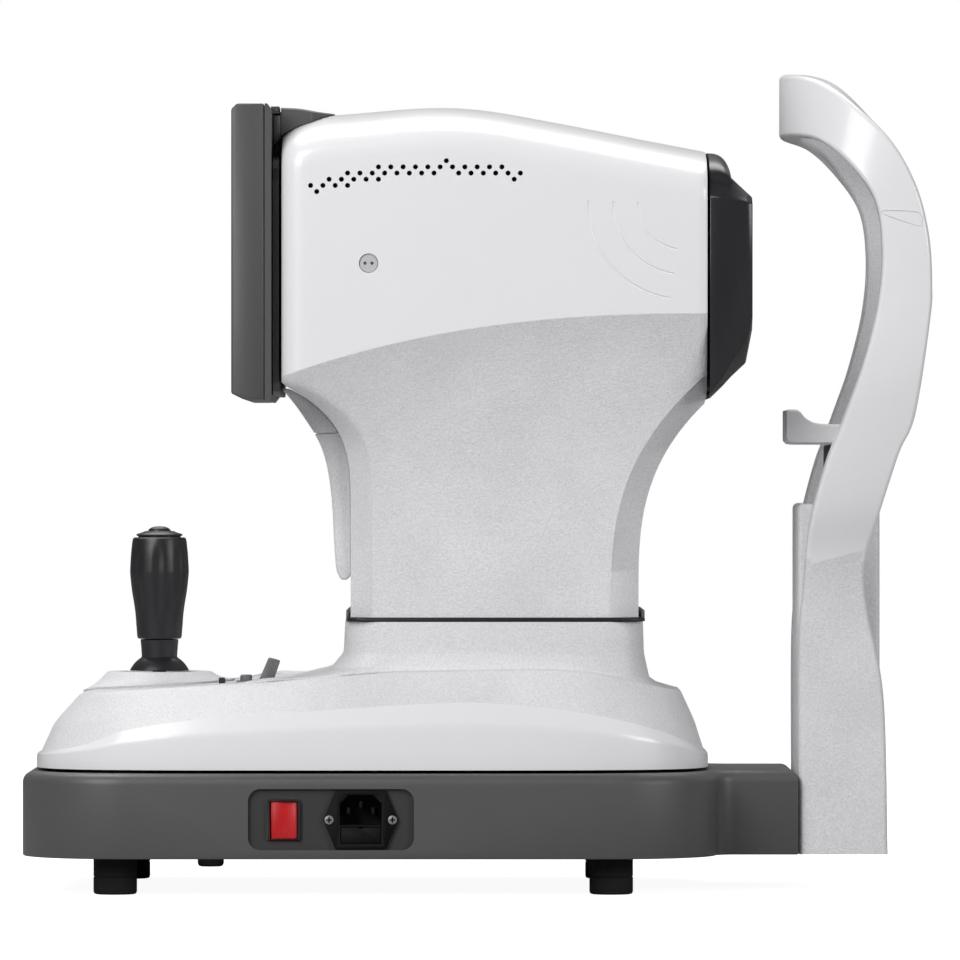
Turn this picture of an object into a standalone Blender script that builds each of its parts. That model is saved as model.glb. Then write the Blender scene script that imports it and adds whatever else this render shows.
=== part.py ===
"""An autorefractor: a fixed base with a headrest, and a carriage with a joystick that
carries the measuring head.

All dimensions below are millimetres; add_part scales them to metres. +X points to the
patient, +Y away from the side with the mains inlet, +Z up, and the feet stand on Z = 0.
Each piece that moves has its origin on its joint's axis.
"""

import math

import bmesh
import bpy
from mathutils import Vector

MM = 0.001
GAP = 0.3  # between two pieces that touch in the real object

# Base
BASE_REAR, BASE_FRONT, BASE_HALF = -259.0, 138.0, 135.0
BASE_LOW, BASE_TOP = 21.0, 69.0
BASE_CORNER, BASE_EDGE, BASE_WALL = 62.0, 6.0, 3.5
ARM_FRONT, ARM_HALF, ARM_BLEND = 184.6, 70.0, 12.0
FOOT_RADIUS, FOOT_REAR_X, FOOT_FRONT_X, FOOT_Y = 12.4, -205.0, 77.0, 102.0

# Power panel, in the base's near side
PANEL_X, PANEL_Z = (-128.7, -34.9), (26.2, 60.8)
PANEL_FLOOR = -BASE_HALF + 2.5
SWITCH_X, SWITCH_Z, SWITCH_PIVOT_Y = -108.5, 43.0, -131.4
SWITCH_TILT = math.radians(8)
INLET_X, INLET_Z = -65.0, 43.3

# Travel mechanism between base and carriage
AXLE_X, AXLE_Z, AXLE_RADIUS = 30.0, 81.0, 4.0
PINION_RADIUS, PINION_TEETH = 8.0, 16
TOOTH_PITCH = 2 * math.pi * PINION_RADIUS / PINION_TEETH
PINION_Y = (54.0, 62.0)

# Carriage
SKIRT_REAR, SKIRT_FRONT, SKIRT_HALF, SKIRT_LOW = -253.0, 134.0, 120.0, 70.8
WAIST_REAR, WAIST_FRONT, WAIST_HALF, WAIST_TOP = -75.0, 96.0, 92.0, 154.5
SHELL_WALL = 2.5
STICK_X, STICK_PIVOT_Z, BOSS_TOP = -183.5, 104.6, 124.6
LEVER_X, CONTROLS_Y, PLATE_X = -123.0, -60.0, (-137.0, -111.0)
LEVER_OUTLINE = [(-129.6, 108), (-120.3, 108), (-112, 131.9), (-118.7, 133.8)]
PRINT_BUTTON_X, PRINT_BUTTON_RADIUS = -145.5, 1.9

# Column and head
COLUMN_REAR, COLUMN_FRONT, COLUMN_HALF, COLUMN_LOW = -71.5, 93.0, 90.0, 157.0
HEAD_REAR, HEAD_FRONT, HEAD_HALF = -110.5, 131.5, 115.0
CROWN, CROWN_POWER = 29.0, 2.6
REAR_BEVEL = 12.5
SCREW_X, ROD_X, ROD_Y = 40.0, 10.0, 60.0
WINDOW_Z, NOSE_SLANT = 366.0, 10.0
PLUG = (-60.8, 358.4)
ROLL_X, ROLL_Z, ROLL_RADIUS = -45.0, 226.0, 20.0
DISPLAY_HALF, DISPLAY_PIVOT = 107.0, (-114.0, 446.8)
DOOR_PIVOT, DOOR_HALF = (-76.5, 181.0), 44.0
DOOR_LOW, DOOR_TOP, BULGE_TOP = 178.0, 262.0, 288.0
HOOD_REAR, HOOD_FRONT, HOOD_HALF = -111.3, -81.5, 84.0

# Headrest
ARCH_THICK, ARCH_HALF, BAND_X = 14.0, 112.0, 176.0
TOWER_X, TOWER_HALF, TOWER_TOP = (185.3, 232.0), 51.0, 222.0
POST_X, POST_HALF = (202.0, 222.0), 12.0

# Looks: colour, roughness, metallic
LOOKS = {
    "white_shell": ((0.78, 0.78, 0.80), 0.35, 0.0),
    "dark_shell": ((0.10, 0.10, 0.10), 0.5, 0.0),
    "black_gloss": ((0.03, 0.028, 0.035), 0.2, 0.0),
    "black_rubber": ((0.01, 0.01, 0.01), 0.8, 0.0),
    "black_plastic": ((0.015, 0.015, 0.015), 0.5, 0.0),
    "grey_plastic": ((0.3, 0.3, 0.31), 0.45, 0.0),
    "light_grey_plastic": ((0.6, 0.6, 0.62), 0.45, 0.0),
    "red_plastic": ((0.55, 0.01, 0.012), 0.3, 0.0),
    "glass": ((0.05, 0.06, 0.08), 0.05, 0.0),
    "steel": ((0.6, 0.6, 0.6), 0.3, 1.0),
    "aluminium": ((0.75, 0.75, 0.76), 0.4, 1.0),
    "paper": ((0.85, 0.84, 0.80), 0.9, 0.0),
    "pad_silicone": ((0.7, 0.7, 0.72), 0.7, 0.0),
}


# ---------------------------------------------------------------- drawing tools


def clear_scene():
    for obj in list(bpy.data.objects):
        bpy.data.objects.remove(obj)


def make_materials():
    made = {}
    for name, (colour, roughness, metallic) in LOOKS.items():
        material = bpy.data.materials.new(name)
        material.use_nodes = True
        shader = material.node_tree.nodes["Principled BSDF"]
        shader.inputs["Base Color"].default_value = (*colour, 1.0)
        shader.inputs["Roughness"].default_value = roughness
        shader.inputs["Metallic"].default_value = metallic
        material.diffuse_color = (*colour, 1.0)
        made[name] = material
    return made


def add_part(name, shape, look, pivot=(0, 0, 0), closed=True):
    """An object from (points, faces) in millimetres, with its origin at the pivot."""
    points, faces = shape
    centre = Vector(pivot)
    mesh = bpy.data.meshes.new(name)
    mesh.from_pydata([(Vector(point) - centre) * MM for point in points], [], faces)
    if closed:
        solid = bmesh.new()
        solid.from_mesh(mesh)
        bmesh.ops.recalc_face_normals(solid, faces=solid.faces)
        solid.to_mesh(mesh)
        solid.free()
    obj = bpy.data.objects.new(name, mesh)
    obj.location = centre * MM
    if look:
        mesh.materials.append(MATERIALS[look])
    bpy.context.scene.collection.objects.link(obj)
    return obj


def combine(obj, operation, *shapes):
    """Boolean operations on obj, each with a hidden helper of that shape."""
    for shape in shapes:
        helper = add_part(f"{obj.name}_{operation.lower()}", shape, None)
        helper.hide_render = True
        helper.display_type = "WIRE"
        modifier = obj.modifiers.new(operation.title(), "BOOLEAN")
        modifier.operation = operation
        modifier.object = helper


def cut(obj, *shapes):
    combine(obj, "DIFFERENCE", *shapes)


def join(obj, *shapes):
    combine(obj, "UNION", *shapes)


def thicken(obj, wall):
    """Turns an open surface into a shell, with the wall inside it."""
    modifier = obj.modifiers.new("Wall", "SOLIDIFY")
    modifier.thickness = wall * MM
    modifier.offset = -1
    modifier.use_even_offset = True
    obj.modifiers.new("Triangles", "TRIANGULATE")


def soften(obj, width, segments=1, angle=30):
    modifier = obj.modifiers.new("Edges", "BEVEL")
    modifier.width = width * MM
    modifier.segments = segments
    modifier.limit_method = "ANGLE"
    modifier.angle_limit = math.radians(angle)


def arc(centre_x, centre_y, radius, start, end, steps):
    """Points on an arc, with its angles in degrees."""
    angles = [math.radians(start + (end - start) * i / steps) for i in range(steps + 1)]
    return [(centre_x + radius * math.cos(a), centre_y + radius * math.sin(a)) for a in angles]


def rounded(x_range, y_range, radius, steps=3):
    """A rectangle with round corners; with one step they are chamfers."""
    (x0, x1), (y0, y1), r = x_range, y_range, radius
    corners = ((x1 - r, y0 + r, -90), (x1 - r, y1 - r, 0), (x0 + r, y1 - r, 90), (x0 + r, y0 + r, 180))
    return [p for x, y, turn in corners for p in arc(x, y, r, turn, turn + 90, steps)]


def smooth(table, place):
    """The value at a place on a smooth curve through the table's (place, value) points."""
    if place <= table[0][0]:
        return table[0][1]
    if place >= table[-1][0]:
        return table[-1][1]
    at = next(i for i in range(len(table) - 1) if place <= table[i + 1][0])
    slopes = []
    for i in (at, at + 1):
        before, after = table[max(i - 1, 0)], table[min(i + 1, len(table) - 1)]
        slopes.append((after[1] - before[1]) / (after[0] - before[0]))
    (x0, y0), (x1, y1) = table[at], table[at + 1]
    span = x1 - x0
    t = (place - x0) / span
    ease = t * t * (3 - 2 * t)
    pull = span * (slopes[0] * t * (1 - t) ** 2 - slopes[1] * t * t * (1 - t))
    return y0 + (y1 - y0) * ease + pull


def place_on(axis, u, v, along):
    """A point from its place across an axis and along it."""
    return {"X": (along, u, v), "Y": (u, along, v), "Z": (u, v, along)}[axis]


def loft(rings, capped=True):
    """Rings of equally many points, joined in turn; the end rings are filled if capped."""
    count = len(rings[0])
    points = [point for ring in rings for point in ring]
    faces = []
    for k in range(len(rings) - 1):
        for i in range(count):
            j = (i + 1) % count
            faces.append((k * count + i, k * count + j, (k + 1) * count + j, (k + 1) * count + i))
    if capped:
        faces.append(tuple(range(count))[::-1])
        faces.append(tuple((len(rings) - 1) * count + i for i in range(count)))
    return points, faces


def prism(outline, low, high, axis="Z"):
    """A straight bar along the axis with the outline, given across the axis, as its section."""
    return loft([[place_on(axis, u, v, along) for u, v in outline] for along in (low, high)])


def box(x_range, y_range, z_range):
    (x0, x1), (y0, y1) = x_range, y_range
    return prism([(x0, y0), (x1, y0), (x1, y1), (x0, y1)], *z_range)


def lathe(profile, centre, axis="Z", segments=20):
    """A turned piece from (radius, place along the axis) points. A profile whose ends aren't
    on the axis closes on itself, so the piece has a hole through it."""
    points, rows, faces = [], [], []
    for radius, along in profile:
        if radius == 0:
            rows.append([len(points)] * segments)
            points.append(place_on(axis, *centre, along))
            continue
        rows.append([len(points) + i for i in range(segments)])
        for i in range(segments):
            a = 2 * math.pi * i / segments
            u, v = centre[0] + radius * math.cos(a), centre[1] + radius * math.sin(a)
            points.append(place_on(axis, u, v, along))
    pairs = list(zip(rows, rows[1:]))
    if profile[0][0] > 0:
        pairs.append((rows[-1], rows[0]))
    for one, two in pairs:
        for i in range(segments):
            j = (i + 1) % segments
            corners = list(dict.fromkeys((one[i], one[j], two[j], two[i])))
            if len(corners) > 2:
                faces.append(corners)
    return points, faces


def rod(radius, centre, low, high, axis="Z", segments=16):
    return lathe([(0, low), (radius, low), (radius, high), (0, high)], centre, axis, segments)


def tube(inner, outer, centre, low, high, axis="Z", segments=20):
    return lathe([(inner, low), (outer, low), (outer, high), (inner, high)], centre, axis, segments)


# ---------------------------------------------------------------- base


def base_outline(inset=0.0, steps=7):
    """The base in plan with the arm that carries the headrest, drawn in by the inset."""
    corner_x, corner_y = BASE_FRONT - BASE_CORNER, BASE_HALF - BASE_CORNER
    blend_y = ARM_HALF + ARM_BLEND
    reach = math.sqrt((BASE_CORNER + ARM_BLEND) ** 2 - (blend_y - corner_y) ** 2)
    meet = math.degrees(math.asin((blend_y - corner_y) / (BASE_CORNER + ARM_BLEND)))
    radius = BASE_CORNER - inset
    side = [(ARM_FRONT - inset, ARM_HALF - inset)]
    side += arc(corner_x + reach, blend_y, ARM_BLEND + inset, 270, 180 + meet, 3)
    side += arc(corner_x, corner_y, radius, meet, 90, steps)
    side += arc(BASE_REAR + BASE_CORNER, corner_y, radius, 90, 180, steps)
    return side + [(x, -y) for x, y in reversed(side)]


def make_base_housing():
    levels = [(BASE_LOW, 1.0), (BASE_LOW + 1, 0.0)]
    for step in range(4):
        a = math.pi / 2 * step / 3
        drop = BASE_EDGE * (1 - math.sin(a))
        levels.append((BASE_TOP - drop, BASE_EDGE * (1 - math.cos(a))))
    rings = [[(x, y, z) for x, y in base_outline(inset)] for z, inset in levels]
    housing = add_part("base_housing", loft(rings), "dark_shell")
    cut(housing, prism(base_outline(BASE_WALL), BASE_LOW - 1, BASE_TOP - BASE_WALL))
    back = -BASE_HALF + 7.5
    backing = box((PANEL_X[0] - 7, PANEL_X[1] + 7), (-BASE_HALF + 1, back), (23.8, BASE_TOP - 2))
    join(housing, backing)
    through = (-BASE_HALF, back + 1)
    cut(
        housing,
        prism(rounded(PANEL_X, PANEL_Z, 7), -BASE_HALF - 1, PANEL_FLOOR, "Y"),
        box((SWITCH_X - 8.9, SWITCH_X + 8.9), through, (SWITCH_Z - 11.7, SWITCH_Z + 11.7)),
        box((INLET_X - 13.9, INLET_X + 13.9), through, (INLET_Z - 15.4, INLET_Z + 15.4)),
        box((ARM_FRONT - 6, ARM_FRONT + 1), (-41, 41), (24, 29)),
    )


def make_base_fittings():
    add_part("base_bottom_plate", prism(base_outline(BASE_WALL + GAP), 21.4, 23.4), "steel")
    add_part("power_supply", box((-95, -15), (-55, 60), (23.7, 56)), "aluminium")
    feet = [(x, y) for x in (FOOT_REAR_X, FOOT_FRONT_X) for y in (-FOOT_Y, FOOT_Y)]
    for number, centre in enumerate(feet, 1):
        profile = [(0, 0), (FOOT_RADIUS - 1, 0), (FOOT_RADIUS, 1), (FOOT_RADIUS, 21.1), (0, 21.1)]
        add_part(f"foot_{number}", lathe(profile, centre), "black_rubber")
    knob = [(0, 16), (6, 16), (7.5, 17.5), (7.5, 21.1), (0, 21.1)]
    add_part("transport_lock_knob", lathe(knob, (-150.5, -108.0)), "black_plastic")
    plate = rounded((-213, -150), (-52, 52), 20, 4)
    add_part("friction_plate", prism(plate, BASE_TOP + GAP, 71.3), "steel")
    for side, name in ((-1, "rack_near"), (1, "rack_far")):
        y_range = sorted((side * (PINION_Y[0] - 0.5), side * (PINION_Y[1] + 0.5)))
        add_part(name, prism(rack_outline(), *y_range, "Y"), "steel")
    bracket = prism(rounded((118, 226), (-40, 40), 4, 1), 24.5, 28.0)
    add_part("headrest_bracket", bracket, "steel")


def rack_outline(teeth=22):
    """A toothed bar under the axle. A gap between two teeth lies right below the axle."""
    root, tip = AXLE_Z - PINION_RADIUS - 1.25, AXLE_Z - PINION_RADIUS + 0.9
    start = AXLE_X - teeth / 2 * TOOTH_PITCH
    end = start + teeth * TOOTH_PITCH
    outline = [(start, BASE_TOP + GAP), (end, BASE_TOP + GAP), (end, root)]
    for tooth in reversed(range(teeth)):
        middle = start + (tooth + 0.5) * TOOTH_PITCH
        outline += [(middle + 0.95, root), (middle + 0.25, tip)]
        outline += [(middle - 0.25, tip), (middle - 0.95, root)]
    return outline + [(start, root)]


def make_power_panel():
    x, z, face = SWITCH_X, SWITCH_Z, PANEL_FLOOR - GAP
    body = box((x - 8.6, x + 8.6), (face, -117), (z - 11.4, z + 11.4))
    frame = add_part("switch_frame", body, "black_plastic")
    rim = rounded((x - 9.1, x + 9.1), (z - 11.9, z + 11.9), 1, 1)
    join(frame, prism(rim, face - 1.3, face + 0.1, "Y"))
    cut(frame, box((x - 7.9, x + 7.9), (-140, -119), (z - 10.7, z + 10.7)))
    rocker = [(-7.3, 2.6), (-3.7, 1.8), (0, 1.5), (3.7, 1.8), (7.3, 2.6)]
    rocker += [(7.5, -1.5), (3, -8), (-3, -8), (-7.5, -1.5)]
    turned = []
    for across, out in rocker:
        dx = across * math.cos(SWITCH_TILT) + out * math.sin(SWITCH_TILT)
        dy = across * math.sin(SWITCH_TILT) - out * math.cos(SWITCH_TILT)
        turned.append((x + dx, SWITCH_PIVOT_Y + dy))
    shape = prism(turned, z - 10.4, z + 10.4)
    add_part("power_rocker", shape, "red_plastic", (x, SWITCH_PIVOT_Y, z))
    make_inlet()


def make_inlet():
    """A mains inlet with earth pin and a fuse drawer under its socket."""
    x, z, face = INLET_X, INLET_Z, PANEL_FLOOR - GAP
    body = box((x - 13.5, x + 13.5), (face, -106), (z - 15, z + 15))
    inlet = add_part("inlet_socket", body, "black_plastic")
    flange = [(-21.3, 0), (-14.4, -16.3), (14.4, -16.3), (21.3, 0), (14.4, 16.3), (-14.4, 16.3)]
    join(inlet, prism([(x + dx, z + dz) for dx, dz in flange], face - 1.8, face + 0.1, "Y"))
    low, high, half = z - 3, z + 14.2, 11.8
    socket = [(x - half, low), (x + half, low), (x + half, high - 5), (x + half - 5, high)]
    socket += [(x - half + 5, high), (x - half, high - 5)]
    cut(inlet, prism(socket, -140, -118, "Y"), box((x - 11.5, x + 11.5), (-140, -112), (z - 13.5, z - 3.9)))
    for dx, dz in ((-7, 5), (0, 8.5), (7, 5)):
        blade = box((x + dx - 1, x + dx + 1), (-131, -117.5), (z + dz - 2, z + dz + 2))
        join(inlet, blade)
    drawer = box((x - 11.2, x + 11.2), (face - 1.6, -112.3), (z - 13.2, z - 4.2))
    add_part("fuse_drawer", drawer, "black_plastic")


# ---------------------------------------------------------------- travel mechanism


def pinion_outline():
    """A gear in the XZ plane with one tooth pointing straight down."""
    outline = []
    for tooth in range(PINION_TEETH):
        middle = -math.pi / 2 + 2 * math.pi * tooth / PINION_TEETH
        for radius, offset in ((6.75, -0.95), (8.9, -0.25), (8.9, 0.25), (6.75, 0.95)):
            a = middle + offset / radius
            outline.append((AXLE_X + radius * math.cos(a), AXLE_Z + radius * math.sin(a)))
    return outline


def make_travel_mechanism():
    axis = (AXLE_X, 0, AXLE_Z)
    axle = add_part("cross_axle", rod(AXLE_RADIUS, (AXLE_X, AXLE_Z), -71.5, 71.5, "Y"), "steel", axis)
    for side in (-1, 1):
        join(axle, prism(pinion_outline(), *sorted(side * y for y in PINION_Y), "Y"))
    plan = [(11, -71), (38, -71), (38, -67.5), (17, -67.5)]
    plan += [(x, -y) for x, y in reversed(plan)]
    bridge = add_part("axle_bridge", prism(plan, 75, 88), "aluminium")
    cut(bridge, rod(AXLE_RADIUS + GAP, (AXLE_X, AXLE_Z), -80, 80, "Y"))
    block = add_part("bearing_block", box((21.5, 40), (-10.5, 10.5), (74.5, 95.7)), "aluminium")
    cut(block, rod(AXLE_RADIUS + GAP, (AXLE_X, AXLE_Z), -20, 20, "Y"))


# ---------------------------------------------------------------- carriage


def plan_ring(rear, front, half, squareness, height, count=44):
    """A closed ring around the carriage. half and height are numbers or functions of x."""
    middle, reach = (rear + front) / 2, (front - rear) / 2
    ring = []
    for i in range(count):
        a = 2 * math.pi * i / count
        c, s = math.cos(a), math.sin(a)
        x = middle + reach * math.copysign(abs(c) ** (2 / squareness), c)
        width = half(x) if callable(half) else half
        y = width * math.copysign(abs(s) ** (2 / squareness), s)
        ring.append((x, y, height(x) if callable(height) else height))
    return ring


RIDGE = [(-253, 79), (-222, 85), (-200, 93), (-157, 99.5), (-43, 107.5)]
RIDGE += [(-6, 109), (31, 107), (70, 101.5), (107, 92), (134, 79)]
DECK = [(-228, 114), (-163, 117.5), (-107, 121), (-70, 125), (-20, 126.5), (60, 126), (116, 114.5)]


def ridge_height(x):
    """Where the skirt's upright side turns into its slope."""
    return smooth(RIDGE, x)


def deck_height(x):
    return smooth(DECK, x)


def deck_half(x):
    return smooth([(-120, 88), (-60, 100), (60, 100), (120, 90)], x)


def slope_half(x):
    """The skirt's half width on its slope, between the ridge's and the deck's."""
    return 0.45 * deck_half(x) + 0.55 * (SKIRT_HALF - 2)


def slope_height(x):
    return 0.45 * deck_height(x) + 0.55 * ridge_height(x)


def level(low, high):
    """A height that is low on the deck and at the front, and high beside the waist."""
    return lambda x: smooth([(-110, low), (-60, high), (80, high), (110, low)], x)


def make_carriage_skirt():
    rim = (SKIRT_REAR, SKIRT_FRONT, SKIRT_HALF, 4.4)
    rings = [
        plan_ring(*rim, SKIRT_LOW),
        plan_ring(*rim, 78.0),
        plan_ring(SKIRT_REAR + 0.5, SKIRT_FRONT - 0.5, SKIRT_HALF - 2, 4.4, ridge_height),
        plan_ring(-243, 126, slope_half, 4.6, slope_height),
        plan_ring(-226.5, 118, lambda x: deck_half(x) + 2, 5.5, deck_height),
        plan_ring(-160, 115, lambda x: deck_half(x) - 0.5, 5.5, level(119.0, 127.5)),
        plan_ring(-108, 106, 95, 6, level(120.5, 129)),
        plan_ring(-84, 100, 94, 7, level(123.0, 131.5)),
        plan_ring(WAIST_REAR - 1, WAIST_FRONT + 0.6, WAIST_HALF + 0.6, 8, 136.5),
        plan_ring(WAIST_REAR, WAIST_FRONT, WAIST_HALF, 9, WAIST_TOP),
    ]
    skirt = add_part("carriage_skirt", loft(rings, capped=False), "white_shell", closed=False)
    thicken(skirt, SHELL_WALL)
    centre = (STICK_X, 0)
    boss = [(0, 111.5), (41, 111.5), (40.5, 114.5), (35, 118.5), (32, 123), (31, BOSS_TOP), (0, BOSS_TOP)]
    join(skirt, lathe(boss, centre, segments=28))
    opening = (PLATE_X[0] - GAP, PLATE_X[1] + GAP), (CONTROLS_Y - 10, CONTROLS_Y + 10), (105, 135)
    cut(
        skirt,
        rod(22.5, centre, 100, 130, segments=28),
        box(*opening),
        rod(PRINT_BUTTON_RADIUS + GAP, (PRINT_BUTTON_X, CONTROLS_Y), 105, 135),
    )


def make_carriage_inside():
    plan = [(-214, -46), (-140, -50), (-105, -92), (80, -92), (106, -62)]
    plan += [(x, -y) for x, y in reversed(plan)]
    plate = add_part("carriage_plate", prism(plan, 96, 99), "aluminium")
    cut(plate, rod(16, (STICK_X, 0), 90, 105))
    centre = (STICK_X, 0)
    mount = [(19.5, 99.3), (22, 99.3), (22, 118.5), (9, 118.5), (9, 116.5), (19.5, 116.5)]
    add_part("gimbal_mount", lathe(mount, centre), "black_plastic")
    motor = add_part("lift_motor", box((SCREW_X - 20, SCREW_X + 20), (-20, 20), (99.3, 139)), "steel")
    soften(motor, 3)
    for side, name in ((-1, "guide_rod_near"), (1, "guide_rod_far")):
        add_part(name, rod(5, (ROD_X, side * ROD_Y), 99.3, 282), "steel")
    screw = rod(4, (SCREW_X, 0), 139.3, 282)
    add_part("lift_screw", screw, "steel", (SCREW_X, 0, 139.3))
    make_waist_collar()


def make_waist_collar():
    """A thin dark collar on the waist, with a raised lip in front of and behind the column."""
    low, top = WAIST_TOP + GAP, 156.6
    rear, front = WAIST_REAR + 0.8, WAIST_FRONT + 0.6
    ring = prism(rounded((rear, front), (-WAIST_HALF + 0.5, WAIST_HALF - 0.5), 12), low, top)
    collar = add_part("waist_collar", ring, "dark_shell")
    for x0, x1 in ((rear, rear + 1.7), (front - 2, front)):
        join(collar, box((x0, x1), (-70, 70), (low + 0.5, 161)))
    cut(collar, prism(rounded((-70, 90), (-86, 86), 10), low - 5, 165))


def make_joystick():
    centre, pivot = (STICK_X, 0), (STICK_X, 0, STICK_PIVOT_Z)
    ring = add_part("gimbal_ring", tube(11, 15, centre, 101.6, 107.6), "steel", pivot)
    for side in (-1, 1):
        pin = rod(2, (STICK_X, STICK_PIVOT_Z), *sorted((side * 14, side * 19.2)), "Y", 12)
        join(ring, pin)
    ball = [(x, 80.6 + z) for x, z in arc(0, 0, 9, -60, 60, 4)]
    stem = [(4, 90), (4, 99), (6.5, 101), (6.5, 108.5), (4, 110), (4, 127)]
    bell = [(15.5, 125), (17, 125), (16.4, 127.5), (13.5, 130.3), (11, 131.5)]
    neck = [(9.9, 132.5), (11.1, 143.2), (5, 143.2), (5, 198.4), (0, 198.4)]
    profile = [(0, 71.6), *ball, *stem, *bell, *neck]
    shaft = add_part("joystick_shaft", lathe(profile, centre), "black_plastic", pivot)
    join(shaft, rod(2, (0, STICK_PIVOT_Z), STICK_X - 10.7, STICK_X + 10.7, "X", 12))
    body = [(12.7, 143.6), (14.5, 161), (16.4, 172), (17.3, 182), (16.9, 192), (15.2, 201.8)]
    cap = [(13.3, 202.6), (13.3, 205), (8.5, 205.5), (7, 205.5)]
    bore = [(7, 198.8), (5.5, 198.8), (5.5, 143.6)]
    grip = lathe(body + cap + bore, centre)
    add_part("joystick_grip", grip, "black_plastic", (STICK_X, 0, 143.6))
    button = [(0, 201.3), (6.6, 201.3), (6.6, 205.6), (5.6, 207.4), (3, 208.4), (0, 208.6)]
    add_part("joystick_button", lathe(button, centre), "black_plastic", (STICK_X, 0, 201.3))


def make_deck_controls():
    """A small plate with the stage lock lever and two push buttons, and a third beside it."""
    y = CONTROLS_Y
    plate = add_part("control_plate", box(PLATE_X, (y - 9.7, y + 9.7), (116, 120.4)), "grey_plastic")
    cut(plate, box((LEVER_X - 3.8, LEVER_X + 10.8), (y - 4.6, y + 4.6), (110, 125)))
    lever = prism(LEVER_OUTLINE, y - 4, y + 4, "Y")
    add_part("stage_lock_lever", lever, "grey_plastic", (LEVER_X, y, 110))
    buttons = (
        ("chinrest_up_button", -131.7, y - 5, 3.3, 123.8, "grey_plastic"),
        ("chinrest_down_button", -131.7, y + 5, 3.3, 123.8, "grey_plastic"),
        ("print_button", PRINT_BUTTON_X, y, PRINT_BUTTON_RADIUS, 122.2, "black_plastic"),
    )
    for name, x, button_y, radius, top, look in buttons:
        if name != "print_button":
            cut(plate, rod(radius + GAP, (x, button_y), 110, 125))
        profile = [(0, 116.2), (radius, 116.2), (radius, top - 1), (radius * 0.6, top), (0, top)]
        add_part(name, lathe(profile, (x, button_y), segments=16), look, (x, button_y, 116.2))


# ---------------------------------------------------------------- column and head


def crease_height(x):
    """The curve across each side where the upright head turns into the flare below it."""
    return 330 - 36 * max(0.0, (HEAD_FRONT - x) / 242) ** 2.4


def rear_edge(z):
    flare = min(1.0, max(0.0, (z - 215) / 75))
    return COLUMN_REAR + (HEAD_REAR - COLUMN_REAR) * flare**3.8


def front_edge(z):
    flare = min(1.0, max(0.0, (z - 170) / 110))
    return COLUMN_FRONT + (HEAD_FRONT - COLUMN_FRONT) * flare**3


def front_bevel(z):
    """How far the front corner's bevel reaches back along the side."""
    inner = 77 + 45 * min(1.0, max(0.0, (z - 165) / 122)) ** 2.8
    return max(4.0, front_edge(z) - inner - max(0.0, z - 287))


def side_half(x, z):
    crease = crease_height(x)
    if z >= crease:
        return HEAD_HALF
    return COLUMN_HALF + (HEAD_HALF - COLUMN_HALF) * max(0.0, (z - 200) / (crease - 200)) ** 2.2


def crown_height(x):
    """The head's top on its middle line."""
    table = [(-111, 446), (-82, 446), (-30, 450), (2, 449), (49, 441), (95, 432), (134, 424.5)]
    return smooth(table, x) - 14 * max(0.0, (-82 - x) / 28.5) ** 2.2


def crown_surface(x, y):
    """The head's top at any place, for what sits on it."""
    across = min(1.0, abs(y) / HEAD_HALF)
    return crown_height(x) - CROWN * (1 - (1 - across**CROWN_POWER) ** (1 / CROWN_POWER))


def head_ring(height, narrow=1.0, side_points=8):
    """A ring round the column and head. height gives z for each x, narrow scales the width."""
    near = []

    def settle(place):
        """A point whose x depends on its own height."""
        x = 0.0
        for _ in range(6):
            x = place(height(x))
        return x, height(x)

    for share in (0.0, 1.0):
        x, z = settle(rear_edge)
        near.append((x, share * (side_half(x, z) - REAR_BEVEL), z))
    start, _ = settle(lambda z: rear_edge(z) + REAR_BEVEL)
    end, _ = settle(lambda z: front_edge(z) - front_bevel(z))
    for i in range(side_points + 1):
        x = start + (end - start) * i / side_points
        near.append((x, side_half(x, height(x)), height(x)))
    for share in (1.0, 0.0):
        x, z = settle(front_edge)
        near.append((x, share * (side_half(x, z) - 0.9 * front_bevel(z)), z))
    near = [(x, -y * narrow, z) for x, y, z in near]
    far = [(x, -y, z) for x, y, z in reversed(near[1:-1])]
    return near + far


def head_surface():
    """The outer surface of column and head, open at the bottom."""
    rings = [head_ring(lambda x: COLUMN_LOW)]
    for share in (0.25, 0.42, 0.55, 0.66, 0.75, 0.83, 0.9, 0.95, 1.0):
        rings.append(head_ring(lambda x: COLUMN_LOW + share * (crease_height(x) - COLUMN_LOW)))
    for share in (0.5, 1.0):
        wall = lambda x: crown_height(x) - CROWN
        rings.append(head_ring(lambda x: crease_height(x) + share * (wall(x) - crease_height(x))))
    for degrees in (22, 42, 58, 72, 82):
        a = math.radians(degrees)
        rise, narrow = math.sin(a) ** (2 / CROWN_POWER), math.cos(a) ** (2 / CROWN_POWER)
        rings.append(head_ring(lambda x: crown_height(x) - CROWN * (1 - rise), narrow))
    points, faces = loft(rings, capped=False)
    count = len(rings[0])
    first = (len(rings) - 1) * count
    for i in range(count // 2):
        ahead, behind = first + i, first + (count - i) % count
        corners = dict.fromkeys((ahead, ahead + 1, first + (count - i - 1) % count, behind))
        if len(corners) > 2:
            faces.append(tuple(corners))
    return points, faces


def make_head_covers():
    """Two half shells that meet on the middle line."""
    surface = head_surface()
    for side, name in ((-1, "head_cover_near"), (1, "head_cover_far")):
        cover = add_part(name, surface, "white_shell", closed=False)
        thicken(cover, SHELL_WALL)
        other_half = sorted((-side * 200.0, side * GAP / 2))
        cut(
            cover,
            box((-300, 300), other_half, (100, 500)),
            prism(rounded((-70, 70), (315, 405), 12), 120, 140, "X"),
            prism(rounded((-36, 36), (192, 256), 4), -95, -60, "X"),
        )
        if side < 0:
            cut(cover, rod(5.6, PLUG, -125, -105, "Y"))
    add_part("side_plug", rod(5.2, PLUG, -114.2, -110.5, "Y"), "light_grey_plastic")


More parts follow.
